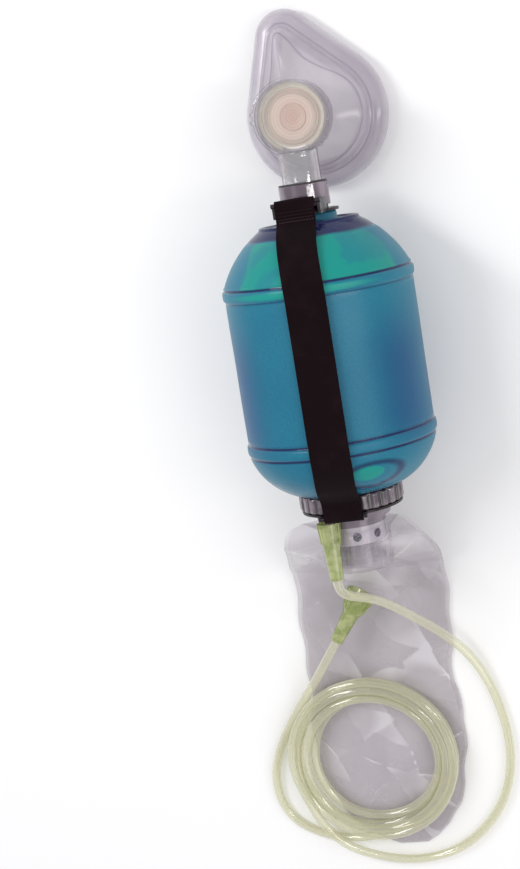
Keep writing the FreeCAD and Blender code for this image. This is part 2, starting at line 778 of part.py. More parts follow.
def supply_connector():
    connector = funnel_connector(SUPPLY_FUNNEL_RADIUS, SUPPLY_FUNNEL_END_RADIUS, SUPPLY_FUNNEL_LENGTH)
    return placed_connector(connector, SUPPLY_MOUTH, SUPPLY_DIRECTION)


def tube_path(points):
    """Straight runs joined by tangent arcs, each as large as its two runs allow."""
    edges = []
    radii = []
    here = points[0]
    for before, corner, after in zip(points, points[1:], points[2:]):
        arriving = (corner - before).normalize()
        leaving = (after - corner).normalize()
        half_turn = arriving.getAngle(leaving) / 2
        trim = 0.45 * min((corner - before).Length, (after - corner).Length)
        radii.append(trim / math.tan(half_turn))
        arc_start = corner - arriving * trim
        arc_end = corner + leaving * trim
        towards_centre = (leaving - arriving).normalize()
        bulge = radii[-1] * (1 / math.cos(half_turn) - 1)
        edges.append(Part.LineSegment(here, arc_start).toShape())
        edges.append(Part.Arc(arc_start, corner + towards_centre * bulge, arc_end).toShape())
        here = arc_end
    edges.append(Part.LineSegment(here, points[-1]).toShape())
    return Part.Wire(edges), radii


def tube(points, name):
    path, radii = tube_path(points)
    start = Part.makeCircle(TUBE_DIAMETER / 2, points[0], points[1] - points[0])
    solid = path.makePipeShell([Part.Wire(start)], True, False)
    section = math.pi * TUBE_DIAMETER ** 2 / 4
    print(name, "length %.1f" % path.Length, "volume ratio %.4f" % (solid.Volume / (section * path.Length)),
          "radii", " ".join("%.0f" % radius for radius in radii))
    return solid


def tubing_lead():
    return tube([vector(*point) for point in LEAD_ROUTE], "lead")


def tubing_tail():
    """Ends square on the tube end of the supply connector."""
    direction = FreeCAD.Vector(SUPPLY_DIRECTION).normalize()
    tube_end = SUPPLY_MOUTH + direction * SUPPLY_FUNNEL_LENGTH
    points = [vector(*point) for point in TAIL_ROUTE]
    points += [tube_end + direction * 20.0, tube_end]
    return tube(points, "tail")


def tubing_coil():
    """Outer shape of the loosely coiled middle of the tubing."""
    profile = Part.Wire(Part.Ellipse(vector(0, 0, 0), COIL_HALF_WIDTH, COIL_HALF_HEIGHT).toShape())
    profile.rotate(vector(0, 0, 0), X_AXIS, 90)
    profile.translate(vector(COIL_MEAN_RADIUS, 0, 0))
    coil = Part.Face(profile).revolve(vector(0, 0, 0), Z_AXIS, 360)
    coil.translate(COIL_CENTRE)
    return coil


# ---- write the pieces ---------------------------------------------------------------------------

PIECES = [
    squeeze_bag, front_ferrule, neck_collar, neck_ring,
    valve_housing, valve_cap, inlet_seat, lip_valve, valve_base, patient_connector, connector_seal,
    mask_cushion, mask_dome,
    hand_strap, strap_plate, strap_rear_ring,
    intake_ring, intake_body, intake_leaf, leaf_pin,
    reservoir_collar, vent_bars, air_inlet_leaf, overflow_leaf,
    reservoir_neck, reservoir_band, reservoir_bag,
]
TUBING_PIECES = [oxygen_connector, tubing_lead, tubing_coil, tubing_tail, supply_connector]


def main():
    shapes = {piece.__name__: piece() for piece in PIECES}
    box = FreeCAD.BoundBox()
    for shape in shapes.values():
        box.add(shape.optimalBoundingBox(False))
    centre = vector(box.Center.x, box.Center.y, 0)
    print("origin is at", centre, "lowest point %.3f" % box.ZMin)
    shapes.update({piece.__name__: piece() for piece in TUBING_PIECES})
    os.makedirs("parts", exist_ok=True)
    for name, shape in shapes.items():
        shape.translate(-centre)
        print(name, shape.isValid(), len(shape.Solids), "volume %.0f" % shape.Volume)
        shape.exportStep("parts/%s.step" % name)


main()
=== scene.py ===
# Bag valve mask (manual resuscitator): the looks of every piece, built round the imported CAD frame.
# All lengths are in metres in the row frame: the mask is at +Y, the reservoir at -Y, +Z is up.

import math

import bpy
from mathutils import Matrix, Vector, noise


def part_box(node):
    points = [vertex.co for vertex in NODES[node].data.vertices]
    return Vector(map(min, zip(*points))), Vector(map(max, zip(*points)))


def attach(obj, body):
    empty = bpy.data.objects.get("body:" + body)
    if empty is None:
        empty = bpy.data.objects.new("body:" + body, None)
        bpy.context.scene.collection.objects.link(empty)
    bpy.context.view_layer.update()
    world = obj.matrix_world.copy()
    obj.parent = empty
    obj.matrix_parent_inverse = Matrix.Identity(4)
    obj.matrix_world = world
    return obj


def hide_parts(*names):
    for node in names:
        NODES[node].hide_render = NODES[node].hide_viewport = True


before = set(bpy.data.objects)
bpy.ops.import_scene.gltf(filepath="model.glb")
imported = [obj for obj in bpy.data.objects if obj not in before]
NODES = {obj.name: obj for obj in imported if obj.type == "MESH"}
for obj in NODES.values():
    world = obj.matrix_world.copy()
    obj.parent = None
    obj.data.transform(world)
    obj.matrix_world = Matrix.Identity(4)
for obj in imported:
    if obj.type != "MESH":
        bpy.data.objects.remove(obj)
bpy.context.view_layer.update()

MM = 0.001
AXIS_Z = 0.0635                                    # height of the bag's axis
RIM_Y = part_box("neck_collar")[0].y - 9.5 * MM      # plane of the bag's front rim
PORT_Y = RIM_Y + 68.0 * MM                         # vertical axis of the patient port
DISC_CENTRE = (0.0, PORT_Y, 0.0622)                # middle of the patient valve's disc
TUBE_DIAMETER = 6.4 * MM


# ---- camera ----

def make_camera():
    """Looks down on the object from the upper right, with the bag's axis leaning to the right."""
    data = bpy.data.cameras.new("camera")
    data.lens = 71.5
    data.sensor_width = 36.0
    data.clip_start = 0.05
    data.clip_end = 20.0
    camera = bpy.data.objects.new("camera", data)
    camera.location = (0.2486, 0.2063, 1.1708)
    camera.rotation_euler = [math.radians(a) for a in (-11.434, 13.708, -9.476)]
    bpy.context.scene.collection.objects.link(camera)
    bpy.context.scene.camera = camera


# ---- oxygen tubing ----

# From the bag's connector down over the reservoir, round to the right and into the coil.
LEAD_ROUTE = [
    (-0.0127, -0.0755, 0.0885),
    (-0.0127, -0.0825, 0.0884),
    (-0.0085, -0.0887, 0.0832),
    (-0.0018, -0.0932, 0.0722),
    (0.0052, -0.0994, 0.0596),
    (0.0128, -0.1078, 0.0480),
    (0.0210, -0.1178, 0.0380),
    (0.0310, -0.1290, 0.0272),
    (0.0415, -0.1415, 0.0180),
    (0.0515, -0.1545, 0.0110),
    (0.0605, -0.1715, 0.0060),
    (0.0675, -0.1915, 0.0038),
    (0.0718, -0.2135, 0.0032),
    (0.0725, -0.2365, 0.0033),
    (0.0680, -0.2585, 0.0032),
    (0.0585, -0.2775, 0.0033),
    (0.0440, -0.2940, 0.0032),
    (0.0260, -0.3060, 0.0034),
    (0.0040, -0.3120, 0.0032),
    (-0.0180, -0.3115, 0.0040),
    (-0.0380, -0.3045, 0.0085),
    (-0.0550, -0.2955, 0.0116),
    (-0.0695, -0.2795, 0.0128),
    (-0.0790, -0.2565, 0.0136),
]

# From the coil's lower edge round its left side and up to the supply connector.
TAIL_ROUTE = [
    (-0.0170, -0.2875, 0.0080),
    (-0.0330, -0.2910, 0.0060),
    (-0.0500, -0.2930, 0.0040),
    (-0.0670, -0.2905, 0.0033),
    (-0.0820, -0.2845, 0.0032),
    (-0.0940, -0.2755, 0.0033),
    (-0.1015, -0.2615, 0.0032),
    (-0.1030, -0.2440, 0.0033),
    (-0.0990, -0.2275, 0.0032),
    (-0.0900, -0.2105, 0.0033),
    (-0.0765, -0.1910, 0.0055),
    (-0.0615, -0.1720, 0.0125),
    (-0.0472, -0.1530, 0.0261),
    (-0.0358, -0.1367, 0.0240),
]

COIL_CENTRE = Vector((-0.0260, -0.2295, 0.0))
COIL_START = 184.0               # degrees round the coil's centre; the turns run clockwise
COIL_STEP = 24.0

# The coil as (degrees turned, radius, height), eased between the rows.
COIL_TURNS = [
    (0, 0.0602, 0.0142),
    (110, 0.0590, 0.0148),
    (230, 0.0606, 0.0146),
    (360, 0.0572, 0.0134),
    (470, 0.0530, 0.0148),
    (600, 0.0556, 0.0142),
    (720, 0.0500, 0.0148),
    (830, 0.0462, 0.0132),
    (930, 0.0492, 0.0102),
    (1000, 0.0452, 0.0090),
    (1080, 0.0436, 0.0094),
    (1190, 0.0468, 0.0086),
    (1300, 0.0516, 0.0086),
    (1440, 0.0560, 0.0086),
    (1560, 0.0578, 0.0086),
    (1640, 0.0604, 0.0086),
    (1680, 0.0602, 0.0084),
]


def between(table, place):
    """Values of a table at a place, eased between its rows."""
    for here, after in zip(table, table[1:]):
        if here[0] <= place <= after[0]:
            share = (place - here[0]) / (after[0] - here[0])
            share = share * share * (3 - 2 * share)
            return [a + (b - a) * share for a, b in zip(here[1:], after[1:])]
    return list(table[-1][1:])


def coil_points():
    points = []
    last = COIL_TURNS[-1][0]
    for number in range(int(last / COIL_STEP) + 1):
        turned = number * COIL_STEP
        radius, height = between(COIL_TURNS, turned)
        angle = math.radians(COIL_START - turned)
        offset = Vector((radius * math.cos(angle), radius * math.sin(angle), height))
        points.append(COIL_CENTRE + offset)
    return points


def make_tubing():
    points = [Vector(p) for p in LEAD_ROUTE] + coil_points() + [Vector(p) for p in TAIL_ROUTE]
    curve = bpy.data.curves.new("oxygen_tubing", "CURVE")
    curve.dimensions = "3D"
    spline = curve.splines.new("NURBS")
    spline.points.add(len(points) - 1)
    for point, place in zip(spline.points, points):
        point.co = (*place, 1.0)
        point.radius = TUBE_DIAMETER / 2
    spline.order_u = 3
    spline.use_endpoint_u = True
    curve.resolution_u = 8
    curve.bevel_depth = 1.0
    curve.bevel_resolution = 4
    curve.use_fill_caps = True
    tubing = bpy.data.objects.new("oxygen_tubing", curve)
    bpy.context.scene.collection.objects.link(tubing)
    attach(tubing, "bag")
    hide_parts("tubing_lead", "tubing_coil", "tubing_tail")
    return tubing


# ---- material nodes ----

def rgb(red, green, blue):
    """Linear colour of three sRGB values out of 255."""
    linear = []
    for value in (red, green, blue):
        share = value / 255
        linear.append(share / 12.92 if share <= 0.04045 else ((share + 0.055) / 1.055) ** 2.4)
    return (*linear, 1.0)


class Look:
    """A node material, built up step by step on object coordinates in metres."""

    def __init__(self, name, colour, roughness, **values):
        self.material = bpy.data.materials.new(name)
        self.material.use_nodes = True
        self.tree = self.material.node_tree
        self.shader = self.tree.nodes["Principled BSDF"]
        self.output = self.tree.nodes["Material Output"]
        self.fill(self.shader, Base_Color=colour, Roughness=roughness, **values)
        self.place = self.node("TexCoord").outputs["Object"]

    def join(self, value, socket):
        """Links an output to a socket, or sets the socket to a plain value."""
        if isinstance(value, bpy.types.NodeSocket):
            self.tree.links.new(value, socket)
        else:
            socket.default_value = value

    def fill(self, node, **values):
        """Joins each value to the socket of its name, an underscore standing for a space."""
        for socket, value in values.items():
            self.join(value, node.inputs[socket.replace("_", " ")])

    def node(self, kind, **values):
        node = self.tree.nodes.new("ShaderNode" + kind)
        self.fill(node, **values)
        return node

    def stretched(self, x, y, z):
        return self.node("Mapping", Scale=(x, y, z), Vector=self.place).outputs["Vector"]

    def noise(self, scale, detail=3.0, place=None, warp=0.0):
        place = place or self.place
        node = self.node("TexNoise", Scale=scale, Detail=detail, Distortion=warp, Vector=place)
        return node.outputs["Fac"]

    def wave(self, scale, direction, warp=0.0, place=None):
        node = self.node("TexWave", Scale=scale, Distortion=warp, Vector=place or self.place)
        node.bands_direction = direction
        return node.outputs["Fac"]

    def attribute(self, name):
        node = self.node("Attribute")
        node.attribute_name = name
        return node.outputs["Fac"]

    def math(self, operation, first, second=0.0, clamp=True):
        node = self.node("Math")
        node.operation = operation
        node.use_clamp = clamp and operation != "SUBTRACT"
        self.join(first, node.inputs[0])
        self.join(second, node.inputs[1])
        return node.outputs["Value"]

    def times(self, first, second):
        return self.math("MULTIPLY", first, second)

    def plus(self, first, second):
        return self.math("ADD", first, second)

    def edge(self, power, strength):
        """From 0 where the surface faces the eye up to the strength where it turns away."""
        return self.times(self.math("POWER", self.facing(), power), strength)

    def ripple(self, value, turns):
        """Sine of the value times turns."""
        return self.math("SINE", self.math("MULTIPLY", value, turns, clamp=False), clamp=False)

    def span(self, value, low, high, start=0.0, end=1.0):
        """The value's range low to high mapped smoothly on start to end."""
        node = self.node("MapRange", Value=value, From_Min=low, From_Max=high, To_Min=start, To_Max=end)
        node.interpolation_type = "SMOOTHSTEP"
        return node.outputs["Result"]

    def mix(self, share, first, second):
        node = self.node("Mix", Factor=share)
        node.data_type = "RGBA"
        self.join(first, node.inputs[6])
        self.join(second, node.inputs[7])
        return node.outputs[2]

    def facing(self):
        """1 where the surface turns away from the eye: the gloss of thin clear plastic."""
        return self.node("LayerWeight").outputs["Facing"]

    def port_radius(self):
        """Distance from the middle of the patient valve's disc."""
        node = self.node("VectorMath")
        node.operation = "DISTANCE"
        self.join(self.place, node.inputs[0])
        self.join(DISC_CENTRE, node.inputs[1])
        return node.outputs["Value"]

    def colour(self, value):
        self.fill(self.shader, Base_Color=value)

    def roughness(self, value):
        self.fill(self.shader, Roughness=value)

    def pass_normal(self, node):
        """Gives the node the bumps made so far."""
        normal = self.shader.inputs["Normal"]
        if normal.is_linked:
            self.fill(node, Normal=normal.links[0].from_socket)

    def bump(self, height, distance, strength=1.0):
        node = self.node("Bump", Distance=distance, Strength=strength, Height=height)
        self.pass_normal(node)
        self.fill(self.shader, Normal=node.outputs["Normal"])

    def grain(self, scale, depth, strength, detail=2.0):
        """Noise bumps, their depth in millimetres."""
        self.bump(self.noise(scale, detail), depth * MM, strength)

    def mottle(self, scale, first, second, detail=2.0):
        """Colours the surface with noise between two colours."""
        self.colour(self.mix(self.noise(scale, detail), first, second))

    def blend(self, share, first, second):
        """Sends a mix of two surfaces to the output."""
        mixer = self.node("MixShader", Fac=share)
        self.join(first, mixer.inputs[1])
        self.join(second, mixer.inputs[2])
        self.fill(self.output, Surface=mixer.outputs["Shader"])

    def see_through(self, solid_share, tint):
        """Mixes a tinted clear surface with the shader; solid_share 1 lets nothing through."""
        clear = self.node("BsdfTransparent", Color=tint)
        self.blend(solid_share, clear.outputs["BSDF"], self.shader.outputs["BSDF"])

    def gloss(self, straight, sideways, roughness):
        """Adds mirror gloss on top: its share seen straight on and seen along the surface."""
        glossy = self.node("BsdfAnisotropic", Color=(1.0, 1.0, 1.0, 1.0), Roughness=roughness)
        self.pass_normal(glossy)
        share = self.plus(self.edge(4.0, sideways), straight)
        below = self.output.inputs["Surface"].links[0].from_socket
        self.blend(share, below, glossy.outputs["BSDF"])


def dress(piece, look):
    """Gives the whole piece one material."""
    if piece.material_slots:
        for slot in piece.material_slots:
            slot.material = look.material
    else:
        piece.data.materials.append(look.material)


# ---- materials ----

def teal_look():
    """Translucent teal rubber: deep colour where thick; painted shade at the front rim, round the
    intake valve and at the sides; a painted green glow on top where light comes through.
    """
    look = Look("teal_bag", rgb(40, 122, 146), 0.34, Specular_IOR_Level=0.3)
    soft = look.span(look.noise(11.0, 2.0), 0.3, 0.7)
    body = look.mix(soft, rgb(20, 104, 134), rgb(27, 116, 142))
    fine = look.times(look.span(look.noise(900.0, 2.0), 0.3, 0.7), 0.16)
    body = look.mix(fine, body, rgb(58, 150, 170))
    blotch = look.times(look.span(look.noise(30.0, 3.0, warp=0.5), 0.47, 0.58), 0.5)
    # Painted glow on top, where light comes through, broken by blotches.
    light = look.span(look.attribute("green"), 0.3, 0.62)
    green = look.times(light, look.math("SUBTRACT", 1.0, blotch))
    # Painted shade at the sides and underneath.
    body = look.mix(look.attribute("blue"), body, rgb(20, 82, 128))
    body = look.mix(green, body, rgb(18, 148, 138))
    # Deep colour of thick rubber, with painted shade at the front rim and a painted ring over the
    # intake valve.
    navy_and_shade = look.attribute("navy_and_shade")
    look.colour(look.mix(look.span(navy_and_shade, 0.12, 0.8), body, rgb(24, 32, 80)))
    look.roughness(look.span(navy_and_shade, 0.0, 0.5, 0.36, 0.1))
    look.grain(420.0, 0.05, 0.25)
    look.grain(30.0, 0.8, 0.2, 1.0)
    look.see_through(0.9, rgb(90, 205, 215))
    return look


def smoky_look():
    """Smoky clear moulded plastic: lilac-grey, darker in its depths."""
    look = Look("smoky_clear", rgb(124, 108, 124), 0.12, IOR=1.5)
    depth = look.span(look.noise(90.0, 1.0, place=look.stretched(1.0, 0.25, 1.0)), 0.36, 0.66)
    look.colour(look.mix(depth, rgb(104, 88, 104), rgb(158, 140, 156)))
    look.grain(240.0, 0.15, 0.3)
    look.see_through(0.72, rgb(150, 130, 150))
    look.gloss(0.06, 0.4, 0.06)
    return look


def grip_ring_look():
    """Smoky plastic of the clamp ring, with painted shade: dark brown between its ribs and at both its
    edges.
    """
    look = Look("grip_ring", rgb(118, 100, 114), 0.14, IOR=1.5)
    depth = look.span(look.noise(110.0, 1.0), 0.36, 0.66)
    body = look.mix(depth, rgb(80, 65, 78), rgb(134, 117, 130))
    # Painted shade between the ribs and at the ring's edges.
    look.colour(look.mix(look.attribute("groove"), body, rgb(28, 16, 26)))
    look.grain(300.0, 0.15, 0.3)
    look.see_through(0.86, rgb(132, 112, 132))
    look.gloss(0.06, 0.4, 0.08)
    return look


def valve_body_look():
    """Smoky grey plastic of the intake valve."""
    look = Look("valve_body_smoky", rgb(130, 116, 130), 0.18)
    look.mottle(80.0, rgb(98, 84, 100), rgb(158, 144, 158))
    look.grain(240.0, 0.15, 0.3)
    look.see_through(0.72, rgb(196, 184, 196))
    look.gloss(0.05, 0.3, 0.1)
    return look


def hard_clear_look(name, haze, clearness):
    """Clear moulded plastic of the patient valve: it shows mostly by its gloss and its edges."""
    look = Look(name, rgb(214, 204, 206), 0.1, IOR=1.5)
    look.colour(look.mix(look.span(look.facing(), 0.55, 0.85), rgb(214, 204, 208), rgb(112, 98, 112)))
    look.grain(110.0, 0.08, 0.3)
    look.see_through(look.plus(haze, look.edge(2.5, 0.7)), (clearness, clearness, clearness, 1.0))
    look.gloss(0.05, 0.12, 0.05)
    return look


def neck_gloss_look():
    """Polished outside of the valve's neck: invisible but for its dark sides and long highlights."""
    look = Look("neck_gloss", rgb(104, 90, 104), 0.1, IOR=1.5)
    look.mottle(60.0, rgb(92, 78, 92), rgb(120, 106, 120), 1.0)
    look.grain(50.0, 0.05, 0.2, 1.0)
    look.see_through(look.span(look.facing(), 0.62, 0.86, 0.0, 0.6), (0.985, 0.98, 0.985, 1.0))
    look.gloss(0.11, 0.1, 0.04)
    return look


def seat_look():
    """Clear ring over the disc, milky cream outside the disc's rim and its painted white highlight."""
    look = Look("seat_clear", rgb(206, 198, 180), 0.2, IOR=1.5)
    look.mottle(90.0, rgb(192, 184, 166), rgb(218, 211, 194))
    look.grain(200.0, 0.1, 0.3)
    milky = look.span(look.port_radius(), 19.8 * MM, 20.6 * MM, 0.02, 0.5)
    look.see_through(milky, (0.985, 0.985, 0.98, 1.0))
    look.gloss(0.03, 0.3, 0.06)
    return look


def soft_clear_look():
    """Clear vinyl of the face mask: hazy lilac-grey, with darker moulded contour lines."""
    look = Look("clear_soft", rgb(196, 190, 206), 0.3, IOR=1.5)
    haze = look.span(look.noise(30.0, 2.0, warp=0.4), 0.35, 0.7)
    body = look.mix(haze, rgb(208, 203, 210), rgb(222, 218, 224))
    line = look.attribute("line")
    look.colour(look.mix(line, body, rgb(132, 124, 144)))
    look.grain(70.0, 0.12, 0.3)
    share = look.plus(look.edge(2.0, 0.4), look.plus(0.34, look.times(line, 0.35)))
    look.see_through(share, rgb(241, 238, 242))
    look.gloss(0.022, 0.3, 0.16)
    return look


def band_clear_look():
    """Clear plastic of the reservoir's neck, a little hazy."""
    look = Look("neck_clear", rgb(206, 200, 212), 0.15, IOR=1.5)
    look.grain(160.0, 0.1, 0.3)
    look.see_through(0.14, (0.985, 0.98, 0.985, 1.0))
    look.gloss(0.04, 0.25, 0.08)
    return look


def cream_look():
    """Cream-pink silicone disc with fine moulded rings, a pinker middle and a painted white highlight
    round its rim.
    """
    look = Look("cream_silicone", rgb(226, 206, 194), 0.34, IOR=1.42, Subsurface_Weight=0.15,
                Subsurface_Scale=1.5 * MM)
    radius = look.port_radius()
    middle = look.span(radius, 2.0 * MM, 15.0 * MM, 1.0, 0.0)
    rings = look.ripple(radius, 3000.0)
    body = look.mix(middle, rgb(219, 201, 188), rgb(201, 172, 160))
    strength = look.span(radius, 8.0 * MM, 17.0 * MM, 0.4, 0.1)
    shade = look.times(look.span(rings, 0.2, 1.0), strength)
    body = look.mix(shade, body, rgb(186, 152, 140))
    # Painted highlight: a white band round the disc's rim.
    rim_end = look.span(radius, 19.9 * MM, 20.4 * MM, 1.0, 0.3)
    rim = look.times(look.span(radius, 18.8 * MM, 19.3 * MM), rim_end)
    look.colour(look.mix(rim, body, rgb(252, 247, 240)))
    look.bump(rings, 0.05 * MM, 0.4)
    look.grain(300.0, 0.1, 0.3)
    return look


def rubber_look(name, colour):
    """Matt dark rubber or leaf silicone."""
    look = Look(name, colour, 0.55)
    shade = look.span(look.noise(220.0, 3.0), 0.3, 0.7)
    look.colour(look.mix(shade, colour, tuple(min(1.0, c * 1.6 + 0.01) for c in colour[:3]) + (1.0,)))
    look.grain(500.0, 0.1, 0.4)
    return look


def webbing_look():
    """Woven black webbing: fine ribs across and twill along, with a few worn threads."""
    look = Look("strap_web", rgb(30, 18, 22), 0.92, Specular_IOR_Level=0.08, Sheen_Weight=0.02)
    across = look.wave(380.0, "Y", 0.4)
    along = look.wave(520.0, "X", 0.3)
    weave = look.times(across, along)
    worn = look.times(look.span(look.noise(60.0, 3.0), 0.5, 0.8), 0.3)
    thread = look.mix(weave, rgb(14, 5, 9), rgb(30, 16, 20))
    look.colour(look.mix(worn, thread, rgb(42, 27, 31)))
    look.bump(weave, 0.3 * MM, 0.5)
    look.grain(900.0, 0.1, 0.4)
    return look


def thread_look():
    """Grey stitching thread."""
    look = Look("stitch_thread", rgb(76, 64, 66), 0.8, Specular_IOR_Level=0.2)
    look.mottle(900.0, rgb(58, 46, 50), rgb(94, 82, 84), 3.0)
    look.bump(look.wave(1500.0, "DIAGONAL"), 0.1 * MM, 0.5)
    return look


def dark_plastic_look():
    """Satin black-brown plastic of the strap's brackets."""
    look = Look("dark_plastic", rgb(26, 18, 24), 0.3, Specular_IOR_Level=0.4)
    look.mottle(90.0, rgb(14, 9, 14), rgb(36, 26, 34), 3.0)
    look.roughness(look.span(look.noise(150.0), 0.3, 0.7, 0.2, 0.4))
    look.grain(420.0, 0.08, 0.4)
    return look


def white_plastic_look():
    """White collar of the reservoir valve."""
    look = Look("white_plastic", rgb(206, 199, 208), 0.22, IOR=1.5)
    look.mottle(60.0, rgb(192, 184, 196), rgb(218, 212, 220))
    look.grain(260.0, 0.08, 0.3)
    look.see_through(0.7, rgb(222, 214, 224))
    look.gloss(0.07, 0.4, 0.08)
    return look


def film_look():
    """Crumpled clear film: soft grey, with painted light and shade on its facets, crisp white creases
    that carry a painted highlight, clear round the neck.
    """
    look = Look("film", rgb(208, 203, 208), 0.3, IOR=1.5)
    milk = look.span(look.noise(16.0, 2.0, warp=0.6), 0.34, 0.68)
    # Whitened creases and side folds, with a painted highlight along them.
    ridge = look.attribute("crease_highlight")
    # Painted light and shade on the facets: lighter and less clear where they lean towards the light.
    painted_facet_light = look.attribute("painted_facet_light")
    body = look.mix(milk, rgb(176, 170, 176), rgb(200, 194, 199))
    body = look.mix(painted_facet_light, body, rgb(230, 227, 232))
    look.colour(look.mix(ridge, body, rgb(250, 249, 251)))
    look.bump(look.noise(26.0, 3.0, warp=0.8), 1.0 * MM, 0.35)
    share = look.plus(look.times(milk, 0.1), look.times(ridge, 0.3))
    share = look.plus(share, look.plus(look.times(painted_facet_light, 0.2), 0.3))
    cover = look.math("SUBTRACT", 1.0, look.attribute("bare"))
    look.see_through(look.times(share, cover), (0.945, 0.93, 0.945, 1.0))
    look.gloss(0.03, 0.35, 0.14)
    return look


def tubing_look():
    """Pale yellow-green clear vinyl tube: clear in the middle, milkier towards its sides."""
    look = Look("tubing", rgb(228, 226, 206), 0.18, IOR=1.5)
    look.mottle(30.0, rgb(222, 220, 197), rgb(234, 232, 213))
    look.grain(40.0, 0.1, 0.15, 0.0)
    look.see_through(look.plus(0.2, look.edge(1.5, 0.6)), rgb(247, 247, 235))
    look.gloss(0.07, 0.3, 0.08)
    return look


def green_look():
    """Soft clear yellow-green vinyl of the funnel connectors, with paler and darker streaks inside."""
    look = Look("green_soft", rgb(184, 194, 122), 0.2, IOR=1.5)
    streak = look.span(look.noise(120.0, 2.0), 0.36, 0.66)
    body = look.mix(streak, rgb(150, 166, 84), rgb(206, 212, 152))
    look.colour(look.mix(look.span(look.facing(), 0.5, 0.85), body, rgb(112, 132, 58)))
    look.grain(260.0, 0.12, 0.4)
    look.see_through(look.plus(0.45, look.edge(2.0, 0.4)), rgb(224, 230, 176))
    look.gloss(0.08, 0.4, 0.1)
    return look


# ---- mesh helpers ----

def make_mesh(name, points, faces):
    mesh = bpy.data.meshes.new(name)
    mesh.from_pydata([tuple(p) for p in points], [], faces)
    mesh.validate()
    mesh.shade_smooth()
    piece = bpy.data.objects.new(name, mesh)
    bpy.context.scene.collection.objects.link(piece)
    return piece


def loft(rings):
    """Points and faces that join rings of equally many points."""
    count = len(rings[0])
    points = [point for ring in rings for point in ring]
    faces = []
    for row in range(len(rings) - 1):
        for column in range(count):
            after = (column + 1) % count
            here, above = row * count, (row + 1) * count
            faces.append((here + column, here + after, above + after, above + column))
    return points, faces


def set_attribute(piece, name, values):
    layer = piece.data.attributes.new(name, "FLOAT", "POINT")
    layer.data.foreach_set("value", values)


def arc(start, middle, end, count):
    """Points on the arc through three (radius, distance) points, ends included."""
    (ax, ay), (bx, by), (cx, cy) = start, middle, end
    twice_area = 2 * (ax * (by - cy) + bx * (cy - ay) + cx * (ay - by))
    aa, bb, cc = ax * ax + ay * ay, bx * bx + by * by, cx * cx + cy * cy
    centre_x = (aa * (by - cy) + bb * (cy - ay) + cc * (ay - by)) / twice_area
    centre_y = (aa * (cx - bx) + bb * (ax - cx) + cc * (bx - ax)) / twice_area
    first = math.atan2(ay - centre_y, ax - centre_x)
    last = math.atan2(cy - centre_y, cx - centre_x)
    turn = (last - first + math.pi) % (2 * math.pi) - math.pi
    size = math.hypot(ax - centre_x, ay - centre_y)
    angles = [first + turn * number / (count - 1) for number in range(count)]
    return [(centre_x + size * math.cos(angle), centre_y + size * math.sin(angle)) for angle in angles]


def run(start, end, count):
    """Evenly spaced points on a straight line, its ends left out."""
    shares = [number / (count + 1) for number in range(1, count + 1)]
    return [tuple(a + (b - a) * share for a, b in zip(start, end)) for share in shares]


def round_angles(count, start=0.0):
    """Angles of evenly spaced steps round a full turn."""
    return [2 * math.pi * (number + start) / count for number in range(count)]


def axis_point(radius, distance, angle):
    """Point round the bag's axis: millimetres from it, distance from the rim, angle from the top."""
    size = radius * MM
    return Vector((size * math.sin(angle), RIM_Y + distance * MM, AXIS_Z + size * math.cos(angle)))


def bell(value, centre, width):
    return math.exp(-((value - centre) / width) ** 2)


# ---- squeeze bag ----

RIBS = (-40.0, -143.0)           # middle of each raised band, millimetres behind the front rim
BAG_SEGMENTS = 240


def rib_profile(centre):
    """Raised band with round edges, with a slight groove at each side."""
    steps = [(5.2, 62.3), (4.2, 62.15), (3.5, 62.35), (3.0, 62.9), (2.4, 63.3), (1.4, 63.45)]
    front = [(radius, centre + offset) for offset, radius in steps]
    rear = [(radius, centre - offset) for offset, radius in reversed(steps)]
    return front + [(63.5, centre)] + rear


def bag_profile():
    """(radius, distance) of the outside, in millimetres, from the soft neck to the rear neck."""
    profile = [(14.6, 5.0), (15.6, 5.2), (18.0, 5.1), (18.8, 4.6), (19.0, 3.4), (19.0, 1.2)]
    profile += [(19.4, 0.0), (20.4, -0.5)]
    profile += run((20.4, -0.5), (30.6, -0.5), 4)
    profile += [(30.8, -0.4), (31.6, 0.35), (32.6, 0.35), (33.2, -0.5), (33.3, -1.4)]
    profile += arc((33.9, -1.8), (50.3, -16.2), (61.5, -34.2), 40)
    profile += rib_profile(RIBS[0])
    profile += run((62.3, -46.0), (62.3, -137.0), 40)
    profile += rib_profile(RIBS[1])
    profile += arc((62.3, -149.0), (52.9, -166.0), (35.0, -178.0), 36)
    profile += [(33.6, -178.2), (31.5, -178.2), (31.5, -186.0)]
    return profile


def ease(value, start, end):
    """0 at start, 1 at end, smooth between; start may be the larger."""
    share = min(1.0, max(0.0, (value - start) / (end - start)))
    return share * share * (3 - 2 * share)


